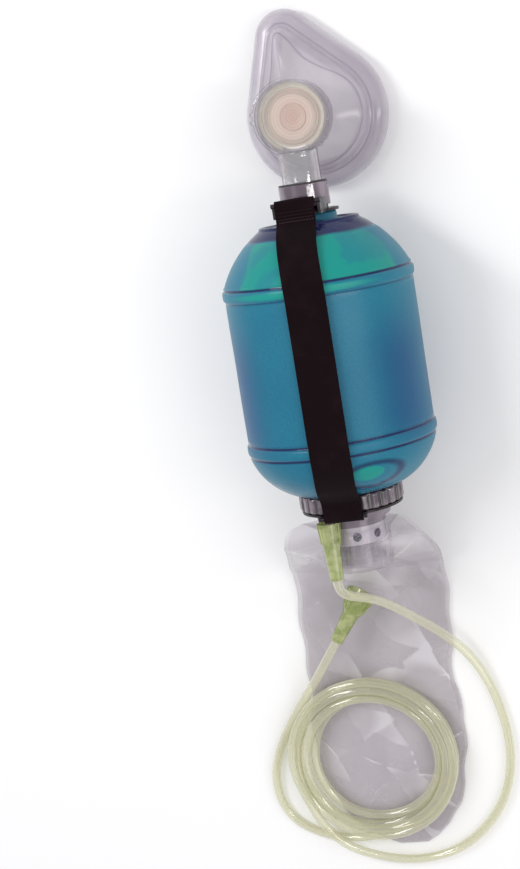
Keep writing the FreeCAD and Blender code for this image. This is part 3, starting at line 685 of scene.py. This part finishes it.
def bag_tones(radius, distance, angle):
    """Three marks of the bag at a place, the angle from the top in radians: deep colour of thick rubber
    with painted shade, painted glow on top, painted shade at the sides.
    """
    degrees = math.degrees(angle)
    upward = math.cos(angle) > 0
    place = Vector((math.sin(angle) * 2.2 + distance / 30.0, distance / 50.0, math.cos(angle)))
    wander = noise.noise(place)
    # Deep colour along the ribs' edges, where the rubber is thicker.
    navy_and_shade = max(bell(distance, rib + 4.3, 0.9) for rib in RIBS)
    navy_and_shade = max(navy_and_shade, 0.55 * bell(distance, RIBS[0] - 4.3, 0.9), bell(distance, RIBS[1] - 4.3, 0.9))
    # Front rim: thicker rubber, with painted shade in the gap under the flange.
    if radius > 24:
        navy_and_shade = max(navy_and_shade, ease(distance, -9.5 + 3.0 * wander, -5.5), bell(distance, 0.3, 1.2))
    navy_and_shade = max(navy_and_shade, 0.8 * bell(distance, -180.0, 4.0))
    navy_and_shade = max(navy_and_shade, (0.4 + 0.4 * wander) * bell(degrees, -38.0, 22.0) * bell(distance, -168.0, 8.0))
    # Painted light and shade of the intake valve seen through the rubber: a dark ring, and a lighter
    # patch within it.
    ring = math.hypot((degrees - 30.0) / 21.0, (distance + 163.0) / 8.6)
    navy_and_shade = max(navy_and_shade, 0.62 * bell(ring, 1.0, 0.25))
    patch = math.hypot((degrees - 26.0) / 11.5, (distance + 161.0) / 5.2)
    # Painted glow where light comes through the rubber, on the upper side only: the front shoulder, the
    # ribs' tops and the patch over the intake valve.
    across = ease(degrees + 14.0 * wander, -60.0, -36.0) * ease(degrees + 14.0 * wander, 74.0, 48.0)
    shoulder = ease(distance, -6.0, -10.0) * ease(distance, -37.0, -34.5) * across
    band = max(bell(distance, RIBS[0], 3.4), 0.5 * bell(distance, RIBS[1], 3.4))
    band *= bell(degrees, 0.0, 60.0)
    glow = max(0.95 * shoulder, 0.8 * band, ease(patch, 1.1, 0.8))
    # Painted shade towards the bag's sides and on its underside, on the body between the ribs.
    side = 0.6
    if upward:
        side = ease(abs(degrees), 26.0, 58.0) * (1.0 - 0.5 * ease(abs(degrees), 62.0, 84.0))
    blue = side * ease(distance, -44.0, -96.0) * ease(distance, -156.0, -126.0)
    return min(1.0, navy_and_shade), min(1.0, glow * upward), min(1.0, 0.9 * blue)


def make_bag():
    rings = []
    tones = []
    for radius, distance in bag_profile():
        ring = []
        for turn in round_angles(BAG_SEGMENTS):
            angle = (turn + math.pi) % (2 * math.pi) - math.pi
            place = Vector((math.sin(angle), distance / 45.0, math.cos(angle)))
            sag = 0.25 * noise.noise(place * 1.7) * min(1.0, max(0.0, (radius - 35) / 20))
            ring.append(axis_point(radius + sag, distance, angle))
            tones.append(bag_tones(radius, distance, angle))
        rings.append(ring)
    piece = make_mesh("bag_shell", *loft(rings))
    for name, values in zip(("navy_and_shade", "green", "blue"), zip(*tones)):
        set_attribute(piece, name, values)
    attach(piece, "bag")
    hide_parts("squeeze_bag")
    return piece


# ---- hand strap ----

STRAP_HALF_WIDTH = 13.0
STRAP_HALF_THICK = 0.75

# How far the strap lies to the right round the bag, as (distance behind the front rim, degrees).
STRAP_TURNS = [(-18.0, -1.4), (45.0, 4.0), (150.0, 4.0), (187.0, 0.9), (200.0, 0.9)]

# The strap's middle line as (height above the bag's axis, distance behind the front rim), millimetres.
STRAP_LINE = [
    (26.9, 13.2),
    (27.0, 14.6),
    (28.3, 16.0),
    (29.8, 16.35),
    (31.3, 15.7),
    (32.2, 13.8),
    (33.0, 9.0),
    (34.2, 3.6),
    (37.1, -0.4),
    (41.2, -3.6),
    (46.5, -8.5),
    (51.7, -14.5),
    (56.7, -21.5),
    (60.7, -28.5),
    (63.6, -35.0),
    (64.65, -40.0),
    (64.65, -50.0),
    (64.6, -70.0),
    (64.6, -92.0),
    (64.6, -114.0),
    (64.65, -134.0),
    (64.65, -143.0),
    (64.1, -148.0),
    (61.6, -155.2),
    (57.6, -162.4),
    (51.6, -169.4),
    (44.2, -175.4),
    (38.8, -180.4),
    (37.3, -186.0),
    (36.9, -190.4),
    (36.0, -193.2),
    (34.2, -194.1),
    (32.5, -193.4),
    (31.85, -191.4),
]


def smooth_line(points, steps):
    """Catmull-Rom points through a line of 2-D points."""
    line = []
    padded = [points[0]] + points + [points[-1]]
    for before, here, after, later in zip(padded, padded[1:], padded[2:], padded[3:]):
        for number in range(steps):
            t = number / steps
            point = []
            for a, b, c, d in zip(before, here, after, later):
                bend = (2 * a - 5 * b + 4 * c - d) * t * t + (3 * b - a - 3 * c + d) * t ** 3
                point.append(0.5 * (2 * b + (c - a) * t + bend))
            line.append(tuple(point))
    line.append(points[-1])
    return line


def strap_section():
    """(across, up) outline of the webbing, with a thicker selvedge."""
    half, thick = STRAP_HALF_WIDTH, STRAP_HALF_THICK
    top = [(half * share, thick * (1.0 if abs(share) > 0.9 else 0.86)) for share in
           (-0.985, -0.94, -0.9, -0.6, -0.3, 0.0, 0.3, 0.6, 0.9, 0.94, 0.985)]
    return [(-half, 0.0)] + top + [(half, 0.0)] + [(x, -z) for x, z in reversed(top)]


def strap_place(across, rise, distance):
    """A point of the strap in the row frame, turned to the right round the bag in its middle."""
    turn = math.radians(between(STRAP_TURNS, -distance)[0])
    x = across * math.cos(turn) + rise * math.sin(turn)
    z = rise * math.cos(turn) - across * math.sin(turn)
    return Vector((x * MM, RIM_Y + distance * MM, AXIS_Z + z * MM))


def strap_frames():
    """(rise, distance, normal) along the strap's middle line."""
    line = smooth_line(STRAP_LINE, 5)
    frames = []
    for number, (rise, distance) in enumerate(line):
        before, after = line[max(number - 1, 0)], line[min(number + 1, len(line) - 1)]
        along = Vector((after[0] - before[0], after[1] - before[1])).normalized()
        frames.append((rise, distance, Vector((-along.y, along.x))))
    return frames


def make_strap():
    rings = []
    for rise, distance, normal in strap_frames():
        ring = []
        for across, up in strap_section():
            cup = 0.3 * (across / STRAP_HALF_WIDTH) ** 2
            lift = up - cup + 0.08 * noise.noise(Vector((across / 9.0, distance / 14.0, 0.0)))
            ring.append(strap_place(across, rise + normal.x * lift, distance + normal.y * lift))
        rings.append(ring)
    points, faces = loft(rings)
    count = len(rings[0])
    faces += [tuple(reversed(range(count))), tuple(range(len(points) - count, len(points)))]
    piece = make_mesh("strap_webbing", points, faces)
    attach(piece, "strap")
    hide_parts("hand_strap")
    return piece


def make_stitches():
    """Rows of stitches that hold the strap's folded front end."""
    frames = strap_frames()
    points, faces = [], []
    for row in range(4):
        target = 9.4 - 2.3 * row
        rise, distance, normal = min(frames[20:], key=lambda f: abs(f[1] - target))
        along = Vector((-normal.y, normal.x))
        for number in range(13):
            across = -10.8 + 1.8 * number + (0.4 if row % 2 else 0.0)
            first = len(points)
            for end in (-0.34, 0.34):
                for side, up in ((-0.4, 0.0), (-0.2, 0.5), (0.2, 0.5), (0.4, 0.0)):
                    reach = end * (1.0 if up > 0.2 else 1.25)
                    lift = STRAP_HALF_THICK * 0.86 - 0.3 * (across / STRAP_HALF_WIDTH) ** 2 + up * 0.35
                    points.append(strap_place(across + reach, rise + normal.x * lift + along.y * side,
                                              distance + normal.y * lift + along.x * side))
            a, b = first, first + 4
            faces += [(a, a + 1, b + 1, b), (a + 1, a + 2, b + 2, b + 1), (a + 2, a + 3, b + 3, b + 2)]
            faces += [(a, a + 3, a + 2, a + 1), (b, b + 1, b + 2, b + 3)]
    piece = make_mesh("strap_stitches", points, faces)
    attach(piece, "strap")
    return piece


# ---- face mask ----

MASK_TURN = Matrix.Rotation(math.radians(15.5), 4, "Z")
MASK_LEAN = 5.0                  # the rim lies this far right of the port
NOSE_Y, NOSE_RADIUS = 53.5, 20.0
CHIN_Y, CHIN_RADIUS = -2.0, 49.0


def teardrop(nose_y, nose_radius, chin_y, chin_radius):
    """Outline round a small circle at the nose and a large one at the chin, as 120 (x, y) points."""
    lean = math.asin((chin_radius - nose_radius) / (nose_y - chin_y))
    across, along = math.cos(lean), math.sin(lean)
    nose = (nose_radius * across, nose_y + nose_radius * along)
    chin = (chin_radius * across, chin_y + chin_radius * along)
    outline = []
    for number in range(24):
        angle = lean + (math.pi - 2 * lean) * number / 24
        outline.append((nose_radius * math.cos(angle), nose_y + nose_radius * math.sin(angle)))
    left_nose, left_chin = (-nose[0], nose[1]), (-chin[0], chin[1])
    outline += [left_nose] + run(left_nose, left_chin, 21)
    for number in range(52):
        angle = math.pi - lean + (math.pi + 2 * lean) * number / 52
        outline.append((chin_radius * math.cos(angle), chin_y + chin_radius * math.sin(angle)))
    return outline + [chin] + run(chin, nose, 21)


def mask_ring(outline, height, crest=0.0, pinch=0.0, lean=MASK_LEAN):
    """One ring of the mask; crest lifts its nose ridge, pinch draws in its nose bridge."""
    ring = []
    for x, y in outline:
        towards_nose = min(1.0, max(0.0, (y - 8.0) / 30.0))
        lift = crest * towards_nose * bell(x, 0.0, 5.0)
        draw = pinch * bell(y, 38.0, 18.0) * (1.0 if x > 0 else 0.45)
        place = MASK_TURN @ Vector(((x * (1 - draw) + lean) * MM, y * MM, (height + lift) * MM))
        ring.append(place + Vector((0.0, PORT_Y, 0.0)))
    return ring


def inset_outline(inset):
    return teardrop(NOSE_Y, NOSE_RADIUS - inset, CHIN_Y, CHIN_RADIUS - inset)


def make_cushion():
    """Air cushion round the rim: a full tube, flat only where it rests."""
    rings = []
    lines = []
    for angle in round_angles(28):
        inset = 9.6 - 9.5 * math.cos(angle)
        height = 9.1 + 9.0 * math.sin(angle)
        if height < 1.2:
            height = 0.1 + 0.5 * height / 1.2
        rings.append(mask_ring(inset_outline(inset), height))
        lines += [0.7 * bell(inset, 4.0, 0.5) * (height > 9.0)] * len(rings[0])
    points, faces = loft(rings)
    size = len(rings[0])
    last = len(points) - size
    faces += [(last + k, last + (k + 1) % size, (k + 1) % size, k) for k in range(size)]
    piece = make_mesh("mask_air_cushion", points, faces)
    set_attribute(piece, "line", lines)
    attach(piece, "mask")
    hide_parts("mask_cushion")
    return piece


# The shell's foot on the cushion as (inset from the rim's outline, height, how dark its line is).
DOME_FOOT = [
    (8.2, 17.5, 0.0),
    (9.2, 18.3, 0.1),
    (9.9, 18.4, 1.0),
    (10.6, 18.5, 0.1),
    (12.0, 19.2, 0.0),
    (12.5, 20.4, 0.6),
    (13.0, 22.0, 0.0),
]

# The shell from there up to the collar and down its bore as (nose y, nose radius, chin y, chin radius,
# height, crest, pinch, lean, how dark its line is).
DOME_STEPS = [
    (53.0, 5.6, -1.6, 35.4, 25.0, 0.4, 0.3, MASK_LEAN, 0.0),
    (53.0, 4.8, -1.5, 34.8, 26.6, 0.8, 0.36, MASK_LEAN, 0.2),
    (52.6, 4.2, -1.4, 34.1, 27.3, 1.0, 0.4, MASK_LEAN, 1.0),
    (52.2, 3.8, -1.4, 33.4, 27.5, 1.4, 0.42, MASK_LEAN, 0.2),
    (51.0, 3.2, -1.4, 32.0, 27.8, 2.0, 0.42, MASK_LEAN, 0.0),
    (48.0, 3.0, -1.4, 29.0, 29.6, 3.2, 0.4, 4.6, 0.0),
    (42.0, 3.0, -1.4, 26.0, 31.6, 3.6, 0.34, 3.8, 0.0),
    (35.0, 3.4, -1.2, 22.4, 33.6, 3.0, 0.24, 2.8, 0.0),
    (26.0, 5.0, -1.0, 19.0, 35.1, 1.4, 0.1, 1.6, 0.0),
    (12.0, 11.0, -0.6, 15.8, 35.6, 0.0, 0.0, 0.5, 0.0),
    (1.0, 14.0, 0.0, 14.4, 36.4, 0.0, 0.0, 0.0, 0.3),
    (1.0, 13.6, 0.0, 14.0, 39.8, 0.0, 0.0, 0.0, 0.0),
    (1.0, 13.2, 0.0, 13.6, 40.4, 0.0, 0.0, 0.0, 0.3),
    (1.0, 11.1, 0.0, 11.5, 40.4, 0.0, 0.0, 0.0, 0.3),
    (1.0, 10.7, 0.0, 11.1, 39.8, 0.0, 0.0, 0.0, 0.0),
    (1.0, 10.7, 0.0, 11.1, 31.0, 0.0, 0.0, 0.0, 0.0),
]


def dome_steps():
    """Each step's ring and how dark its contour line is."""
    foot = [(mask_ring(inset_outline(inset), height), line) for inset, height, line in DOME_FOOT]
    return foot + [(mask_ring(teardrop(*row[:4]), *row[4:8]), row[8]) for row in DOME_STEPS]


def make_dome():
    """Clear shell from the cushion up to the collar, with a nose ridge and moulded steps."""
    steps = dome_steps()
    rings = [ring for ring, line in steps]
    piece = make_mesh("mask_shell", *loft(rings))
    set_attribute(piece, "line", [line for ring, line in steps for point in ring])
    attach(piece, "mask")
    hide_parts("mask_dome")
    subdivide(piece, 1)
    return piece


def subdivide(piece, levels):
    modifier = piece.modifiers.new("smooth", "SUBSURF")
    modifier.levels = levels
    modifier.render_levels = levels


# ---- reservoir film bag ----

# Sections of the film as (distance behind the rim, left, right, seam height, top, bottom), millimetres.
FILM_SECTIONS = [
    (-203.5, -40.0, 27.0, 50.0, 58.0, 35.0),
    (-206.5, -48.0, 33.0, 49.5, 66.0, 28.0),
    (-213.0, -54.0, 39.0, 48.5, 71.0, 25.0),
    (-222.0, -58.0, 44.0, 44.0, 73.0, 20.0),
    (-236.0, -61.0, 47.0, 27.0, 48.0, 8.0),
    (-249.0, -63.0, 46.5, 8.5, 14.5, 1.0),
    (-268.0, -65.0, 45.5, 3.5, 7.2, 0.4),
    (-295.0, -66.0, 44.0, 2.0, 6.0, 0.4),
    (-322.0, -66.0, 40.5, 1.5, 5.0, 0.4),
    (-340.0, -66.0, 39.5, 1.4, 4.8, 0.4),
    (-362.0, -69.0, 43.5, 1.4, 4.6, 0.4),
    (-388.0, -70.0, 41.5, 1.3, 4.6, 0.4),
    (-415.0, -64.0, 36.5, 1.3, 4.6, 0.4),
    (-432.0, -54.0, 31.0, 1.3, 4.4, 0.4),
    (-446.0, -42.0, 22.0, 1.2, 3.6, 0.4),
    (-455.0, -30.0, 11.0, 1.0, 2.6, 0.4),
    (-460.0, -18.0, 2.0, 0.9, 1.5, 0.4),
]

FILM_POINTS = 224                # points round each section
FILM_STEP = 1.1                  # millimetres between sections
PLY_GAP = 0.25
COIL_INSIDE, COIL_OUTSIDE = 36.0, 67.0     # radii between which the tubing's coil lies on the film

# The film's folds as (direction in degrees, spacing, how far they wander), millimetres.
WIDE_FOLD = (24.0, 26.0, 9.0)
CROSS_FOLD = (-58.0, 34.0, 10.0)
STEEP_FOLD = (70.0, 19.0, 6.0)
FINE_FOLD = (-12.0, 12.0, 8.0)


def fold(x, y, degrees, width, wobble):
    """Sharp folds across one direction, 0 to 1, with a wandering spacing."""
    angle = math.radians(degrees)
    along = x * math.cos(angle) + y * math.sin(angle)
    along += wobble * noise.noise(Vector((x / 30.0, y / 30.0, degrees)))
    share = (along / width) % 2.0
    return abs(share - 1.0)


def crumple(x, y, layer):
    """Height of the film's creases at a place, about -1 to 1; layer 0 is the top, 1 the bottom."""
    shift = 37.0 * layer
    x, y = x + shift, y - shift
    height = 0.6 * fold(x, y, *WIDE_FOLD) + 0.6 * fold(x, y, *CROSS_FOLD)
    height += 0.25 * fold(x, y, *STEEP_FOLD) + 0.12 * fold(x, y, *FINE_FOLD)
    height += 0.5 * noise.noise(Vector((x / 22.0, y / 22.0, 3.0)))
    return height - 0.85


def crease_highlight_line(x, y):
    """1 on the film's sharp ridges, where the two plies whiten and a painted highlight lies along them.
    """
    sharp = 0.0
    for degrees, width, wobble in (WIDE_FOLD, CROSS_FOLD, STEEP_FOLD):
        here = fold(x, y, degrees, width, wobble)
        worn = ease(noise.noise(Vector((x / 24.0, y / 24.0, degrees))), 0.1, 0.5)
        sharp = max(sharp, worn * max(0.0, (here - 1.0) * width / 0.8 + 1.0))
    return 0.8 * sharp


def painted_facet_shading(x, y):
    """Painted light and shade on the film's facets: lighter where the folds lean one way, as if lit
    from that side, in patches.
    """
    lean = fold(x + 1.0, y, *WIDE_FOLD) - fold(x - 1.0, y, *WIDE_FOLD)
    lean += fold(x, y + 1.0, *CROSS_FOLD) - fold(x, y - 1.0, *CROSS_FOLD)
    lean += 0.5 * (fold(x, y + 1.0, *STEEP_FOLD) - fold(x, y - 1.0, *STEEP_FOLD))
    patch = ease(noise.noise(Vector((x / 38.0, y / 38.0, 11.0))), -0.15, 0.35)
    return ease(lean, -0.02, 0.11) * (0.25 + 0.75 * patch)


def film_room(x, y):
    """Highest place of the film, in millimetres: it passes under the coil and the connector."""
    coil = math.hypot(x - COIL_CENTRE.x / MM, (y * MM + RIM_Y - COIL_CENTRE.y) / MM)
    if coil < COIL_INSIDE:
        return 8.5 + 3.0 * (COIL_INSIDE - coil) / COIL_INSIDE
    if coil < COIL_OUTSIDE:
        return 5.0
    return 5.0 + min(70.0, 0.9 * (coil - COIL_OUTSIDE))


def film_ring(section):
    """One section's points and their marks: crease whitening with a painted highlight, painted light
    and shade on the facets, bare.
    """
    distance, left, right, seam, top, bottom = section
    ring = []
    marks = []
    middle, half = (left + right) / 2, (right - left) / 2
    for angle in round_angles(FILM_POINTS, 0.5):
        share = -math.cos(angle)
        upper = math.sin(angle) > 0
        full = max(0.0, 1.0 - (share / 0.93) ** 2)
        rise = (top - seam) if upper else (bottom - seam)
        ripple = 0.9 * math.sin(distance / 6.1 + 2.0 * share) * bell(abs(share), 1.0, 0.2)
        x = middle + (half + ripple) * share
        height = seam + rise * full
        amount = 3.0 * min(1.0, full * 3.0) * min(1.0, (top - bottom) / 8.0 + 0.25)
        height += amount * crumple(x, distance, 0 if upper else 1) * (1.0 if upper else 0.5)
        floor = 0.35 if not upper else 0.35 + PLY_GAP
        height = max(floor, min(height, film_room(x, distance) - (0.0 if upper else PLY_GAP)))
        ring.append(Vector((x * MM, RIM_Y + distance * MM, height * MM)))
        # The folded side edges get the same white mark as the creases: whitened film with a painted
        # highlight.
        seam_line = 0.5 * bell(abs(share), 0.965, 0.012)
        line = max(crease_highlight_line(x, distance), seam_line) if upper else 0.0
        # Painted light and shade on the top ply's facets.
        painted_facet_light = painted_facet_shading(x, distance) if upper else 0.0
        marks.append((line, painted_facet_light, 0.85 * ease(distance, -222.0, -212.0)))
    return ring, marks


# The film gathered round the reservoir's neck as (radius, distance behind the rim, flutes' depth).
NECK_FILM = [
    (17.5, -217.5, 0.2),
    (17.4, -221.0, 0.3),
    (17.4, -225.2, 0.15),
    (17.4, -229.2, 0.15),
    (17.8, -232.0, 0.5),
    (19.2, -233.4, 0.8),
    (21.0, -232.0, 1.0),
    (21.6, -226.0, 1.0),
    (21.8, -218.0, 1.0),
    (22.0, -210.0, 1.0),
    (23.0, -205.5, 1.2),
]


def neck_film_ring(radius, distance, flutes):
    """Ring of gathered film round the reservoir's neck."""
    ring = []
    for angle in round_angles(FILM_POINTS, 0.5):
        gather = flutes * (math.sin(17 * angle + 0.6 * distance) + 0.6 * math.sin(29 * angle))
        size = radius + max(0.0, gather)
        ring.append(axis_point(size, distance, angle - math.pi / 2))
    return ring


def film_section(distance):
    for here, after in zip(FILM_SECTIONS, FILM_SECTIONS[1:]):
        if here[0] >= distance >= after[0]:
            share = (here[0] - distance) / (here[0] - after[0])
            return [a + (b - a) * share for a, b in zip(here, after)]


def make_film():
    rings = [neck_film_ring(*row) for row in NECK_FILM]
    marks = [(0.0, 0.0, 0.85)] * FILM_POINTS * len(rings)
    distance = FILM_SECTIONS[0][0]
    while distance >= FILM_SECTIONS[-1][0]:
        ring, ring_marks = film_ring(film_section(distance))
        rings.append(ring)
        marks += ring_marks
        distance -= FILM_STEP
    points, faces = loft(rings)
    last = len(points) - FILM_POINTS
    for number in range(FILM_POINTS // 2 - 1):
        across = last + FILM_POINTS - 2 - number
        faces.append((last + number, last + number + 1, across, across + 1))
    piece = make_mesh("film_bag", points, faces)
    for name, values in zip(("crease_highlight", "painted_facet_light", "bare"), zip(*marks)):
        set_attribute(piece, name, values)
    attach(piece, "bag")
    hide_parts("reservoir_bag")
    return piece


# ---- patient valve ----

def make_neck_gloss():
    """Smooth polished outside of the valve's neck, from the collar to its rounded end by the disc."""
    steps = [(12.84, 24.6), (12.84, 30.0), (12.84, 36.0), (12.84, 42.0), (12.84, 44.4), (13.1, 44.8)]
    steps += [(13.25, 45.3), (13.1, 45.8), (12.6, 46.1), (11.6, 46.15), (11.0, 45.9)]
    angles = round_angles(96)
    rings = [[axis_point(radius, distance, angle) for angle in angles] for radius, distance in steps]
    piece = make_mesh("neck_polish", *loft(rings))
    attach(piece, "valve")
    return piece


# ---- intake end ----

RING_RIBS = 28
RIB_RISE = 1.3
VENTS = 8
VENT_TURN = 11.5                 # degrees from the top to the first vent
VENT_DISTANCE = -209.2
VENT_RADIUS = 2.65
WHITE_RADIUS = 19.5              # outside of the white collar


def make_intake_ring():
    """Clamp ring with rounded grip ribs, and painted shade between them and at both edges."""
    steps = [(31.6, 0.0, -178.3), (33.0, 0.0, -178.2), (33.5, 0.3, -178.6), (33.6, 1.0, -179.6)]
    steps += [(33.6, 1.0, -181.0 - 1.2 * number) for number in range(6)]
    steps += [(33.6, 1.0, -188.2), (33.4, 0.6, -189.0), (32.8, 0.2, -189.45), (31.5, 0.0, -189.5)]
    rings = []
    groove_shading = []
    for radius, share, distance in steps:
        ring = []
        for angle in round_angles(RING_RIBS * 14):
            wave = 0.5 + 0.5 * math.cos(RING_RIBS * angle)
            rib = ease(wave, 0.1, 0.75)
            ring.append(axis_point(radius + RIB_RISE * share * rib, distance, angle))
            # Painted shade at both edges of the ring, where it meets the bag and the collar, and
            # between the ribs.
            edge = max(bell(distance, -189.4, 0.8), bell(distance, -178.3, 0.7))
            groove_shading.append(max(edge, share * (1.0 - ease(wave, 0.1, 0.55))))
        rings.append(ring)
    piece = make_mesh("intake_grip_ring", *loft(rings))
    set_attribute(piece, "groove", groove_shading)
    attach(piece, "clamp_ring")
    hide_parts("intake_ring")
    return piece


def make_vent_rims():
    """Dark rim round each side vent of the white collar."""
    points, faces = [], []
    for vent in round_angles(VENTS):
        turn = math.radians(VENT_TURN) + vent
        rings = []
        for angle in round_angles(24):
            ring = []
            for tilt in round_angles(6):
                reach = VENT_RADIUS + 0.4 * math.cos(tilt)
                across, back = reach * math.sin(angle), reach * math.cos(angle)
                rise = math.sqrt(WHITE_RADIUS ** 2 - across ** 2) + 0.25 * math.sin(tilt)
                round_turn = turn + math.atan2(across, rise)
                ring.append(axis_point(math.hypot(across, rise), VENT_DISTANCE + back, round_turn))
            rings.append(ring)
        ring_points, ring_faces = loft(rings + rings[:1])
        faces += [tuple(len(points) + index for index in face) for face in ring_faces]
        points += ring_points
    piece = make_mesh("vent_rims", points, faces)
    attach(piece, "bag")
    return piece


# ---- carried-over CAD nodes ----

def dress_nodes(vent_dark):
    """Materials of the CAD nodes that stay."""
    choice = (
        (smoky_look(), ["neck_collar"]),
        (hard_clear_look("clear_hard", 0.02, 0.975),
         ["valve_housing", "valve_base", "patient_connector"]),
        (hard_clear_look("clear_lid", 0.012, 0.985), ["valve_cap"]),
        (seat_look(), ["inlet_seat"]),
        (band_clear_look(), ["reservoir_neck", "reservoir_band"]),
        (valve_body_look(), ["intake_body"]),
        (cream_look(), ["lip_valve"]),
        (rubber_look("leaf_silicone", rgb(150, 190, 160)),
         ["intake_leaf", "leaf_pin", "air_inlet_leaf", "overflow_leaf"]),
        (rubber_look("seal_rubber", rgb(34, 30, 36)), ["neck_ring", "connector_seal"]),
        (dark_plastic_look(), ["strap_rear_ring", "front_ferrule", "strap_plate"]),
        (white_plastic_look(), ["reservoir_collar"]),
        (vent_dark, ["vent_bars"]),
        (green_look(), ["oxygen_connector", "supply_connector"]),
    )
    for look, names in choice:
        for name in names:
            dress(NODES[name], look)


# ---- floor and light ----

def make_floor():
    half, height = 6.0, -0.0004
    corners = ((-half, -half), (half, -half), (half, half), (-half, half))
    floor = make_mesh("floor", [(x, y, height) for x, y in corners], [(0, 1, 2, 3)])
    look = Look("floor", (0.9, 0.9, 0.9, 1.0), 0.8)
    look.mottle(2.0, (0.88, 0.88, 0.885, 1.0), (0.91, 0.91, 0.91, 1.0))
    dress(floor, look)


def make_light(name, place, target, size, power, colour=(1.0, 1.0, 1.0)):
    data = bpy.data.lights.new(name, "AREA")
    data.shape = "RECTANGLE"
    data.size, data.size_y = size
    data.energy = power
    data.color = colour
    lamp = bpy.data.objects.new(name, data)
    lamp.location = place
    lamp.rotation_euler = (Vector(target) - Vector(place)).to_track_quat("-Z", "Y").to_euler()
    bpy.context.scene.collection.objects.link(lamp)


def make_lights():
    world = bpy.data.worlds.new("studio")
    bpy.context.scene.world = world
    world.use_nodes = True
    background = world.node_tree.nodes["Background"]
    background.inputs["Color"].default_value = (0.985, 0.98, 1.0, 1.0)
    background.inputs["Strength"].default_value = 0.74
    make_light("key", (-0.7, 0.55, 1.1), (0.0, 0.05, 0.05), (0.2, 0.7), 7.5)
    make_light("fill", (0.9, 0.1, 1.05), (0.0, 0.05, 0.05), (0.11, 0.8), 3.0, (1.0, 0.97, 0.95))
    make_light("soft_fill", (0.9, -0.6, 1.0), (0.0, -0.05, 0.05), (0.8, 0.8), 2.5, (1.0, 0.97, 0.95))
    bpy.context.scene.view_settings.view_transform = "Standard"


# ---- the whole scene ----

def main():
    make_camera()
    vent_dark = rubber_look("vent_dark", rgb(96, 88, 104))
    soft_clear = soft_clear_look()
    dress(make_tubing(), tubing_look())
    dress(make_bag(), teal_look())
    dress(make_strap(), webbing_look())
    dress(make_stitches(), thread_look())
    dress(make_cushion(), soft_clear)
    dress(make_dome(), soft_clear)
    dress(make_film(), film_look())
    dress(make_neck_gloss(), neck_gloss_look())
    dress(make_intake_ring(), grip_ring_look())
    dress(make_vent_rims(), vent_dark)
    dress_nodes(vent_dark)
    make_floor()
    make_lights()


def write_sizes():
    bpy.context.view_layer.update()


main()
write_sizes()
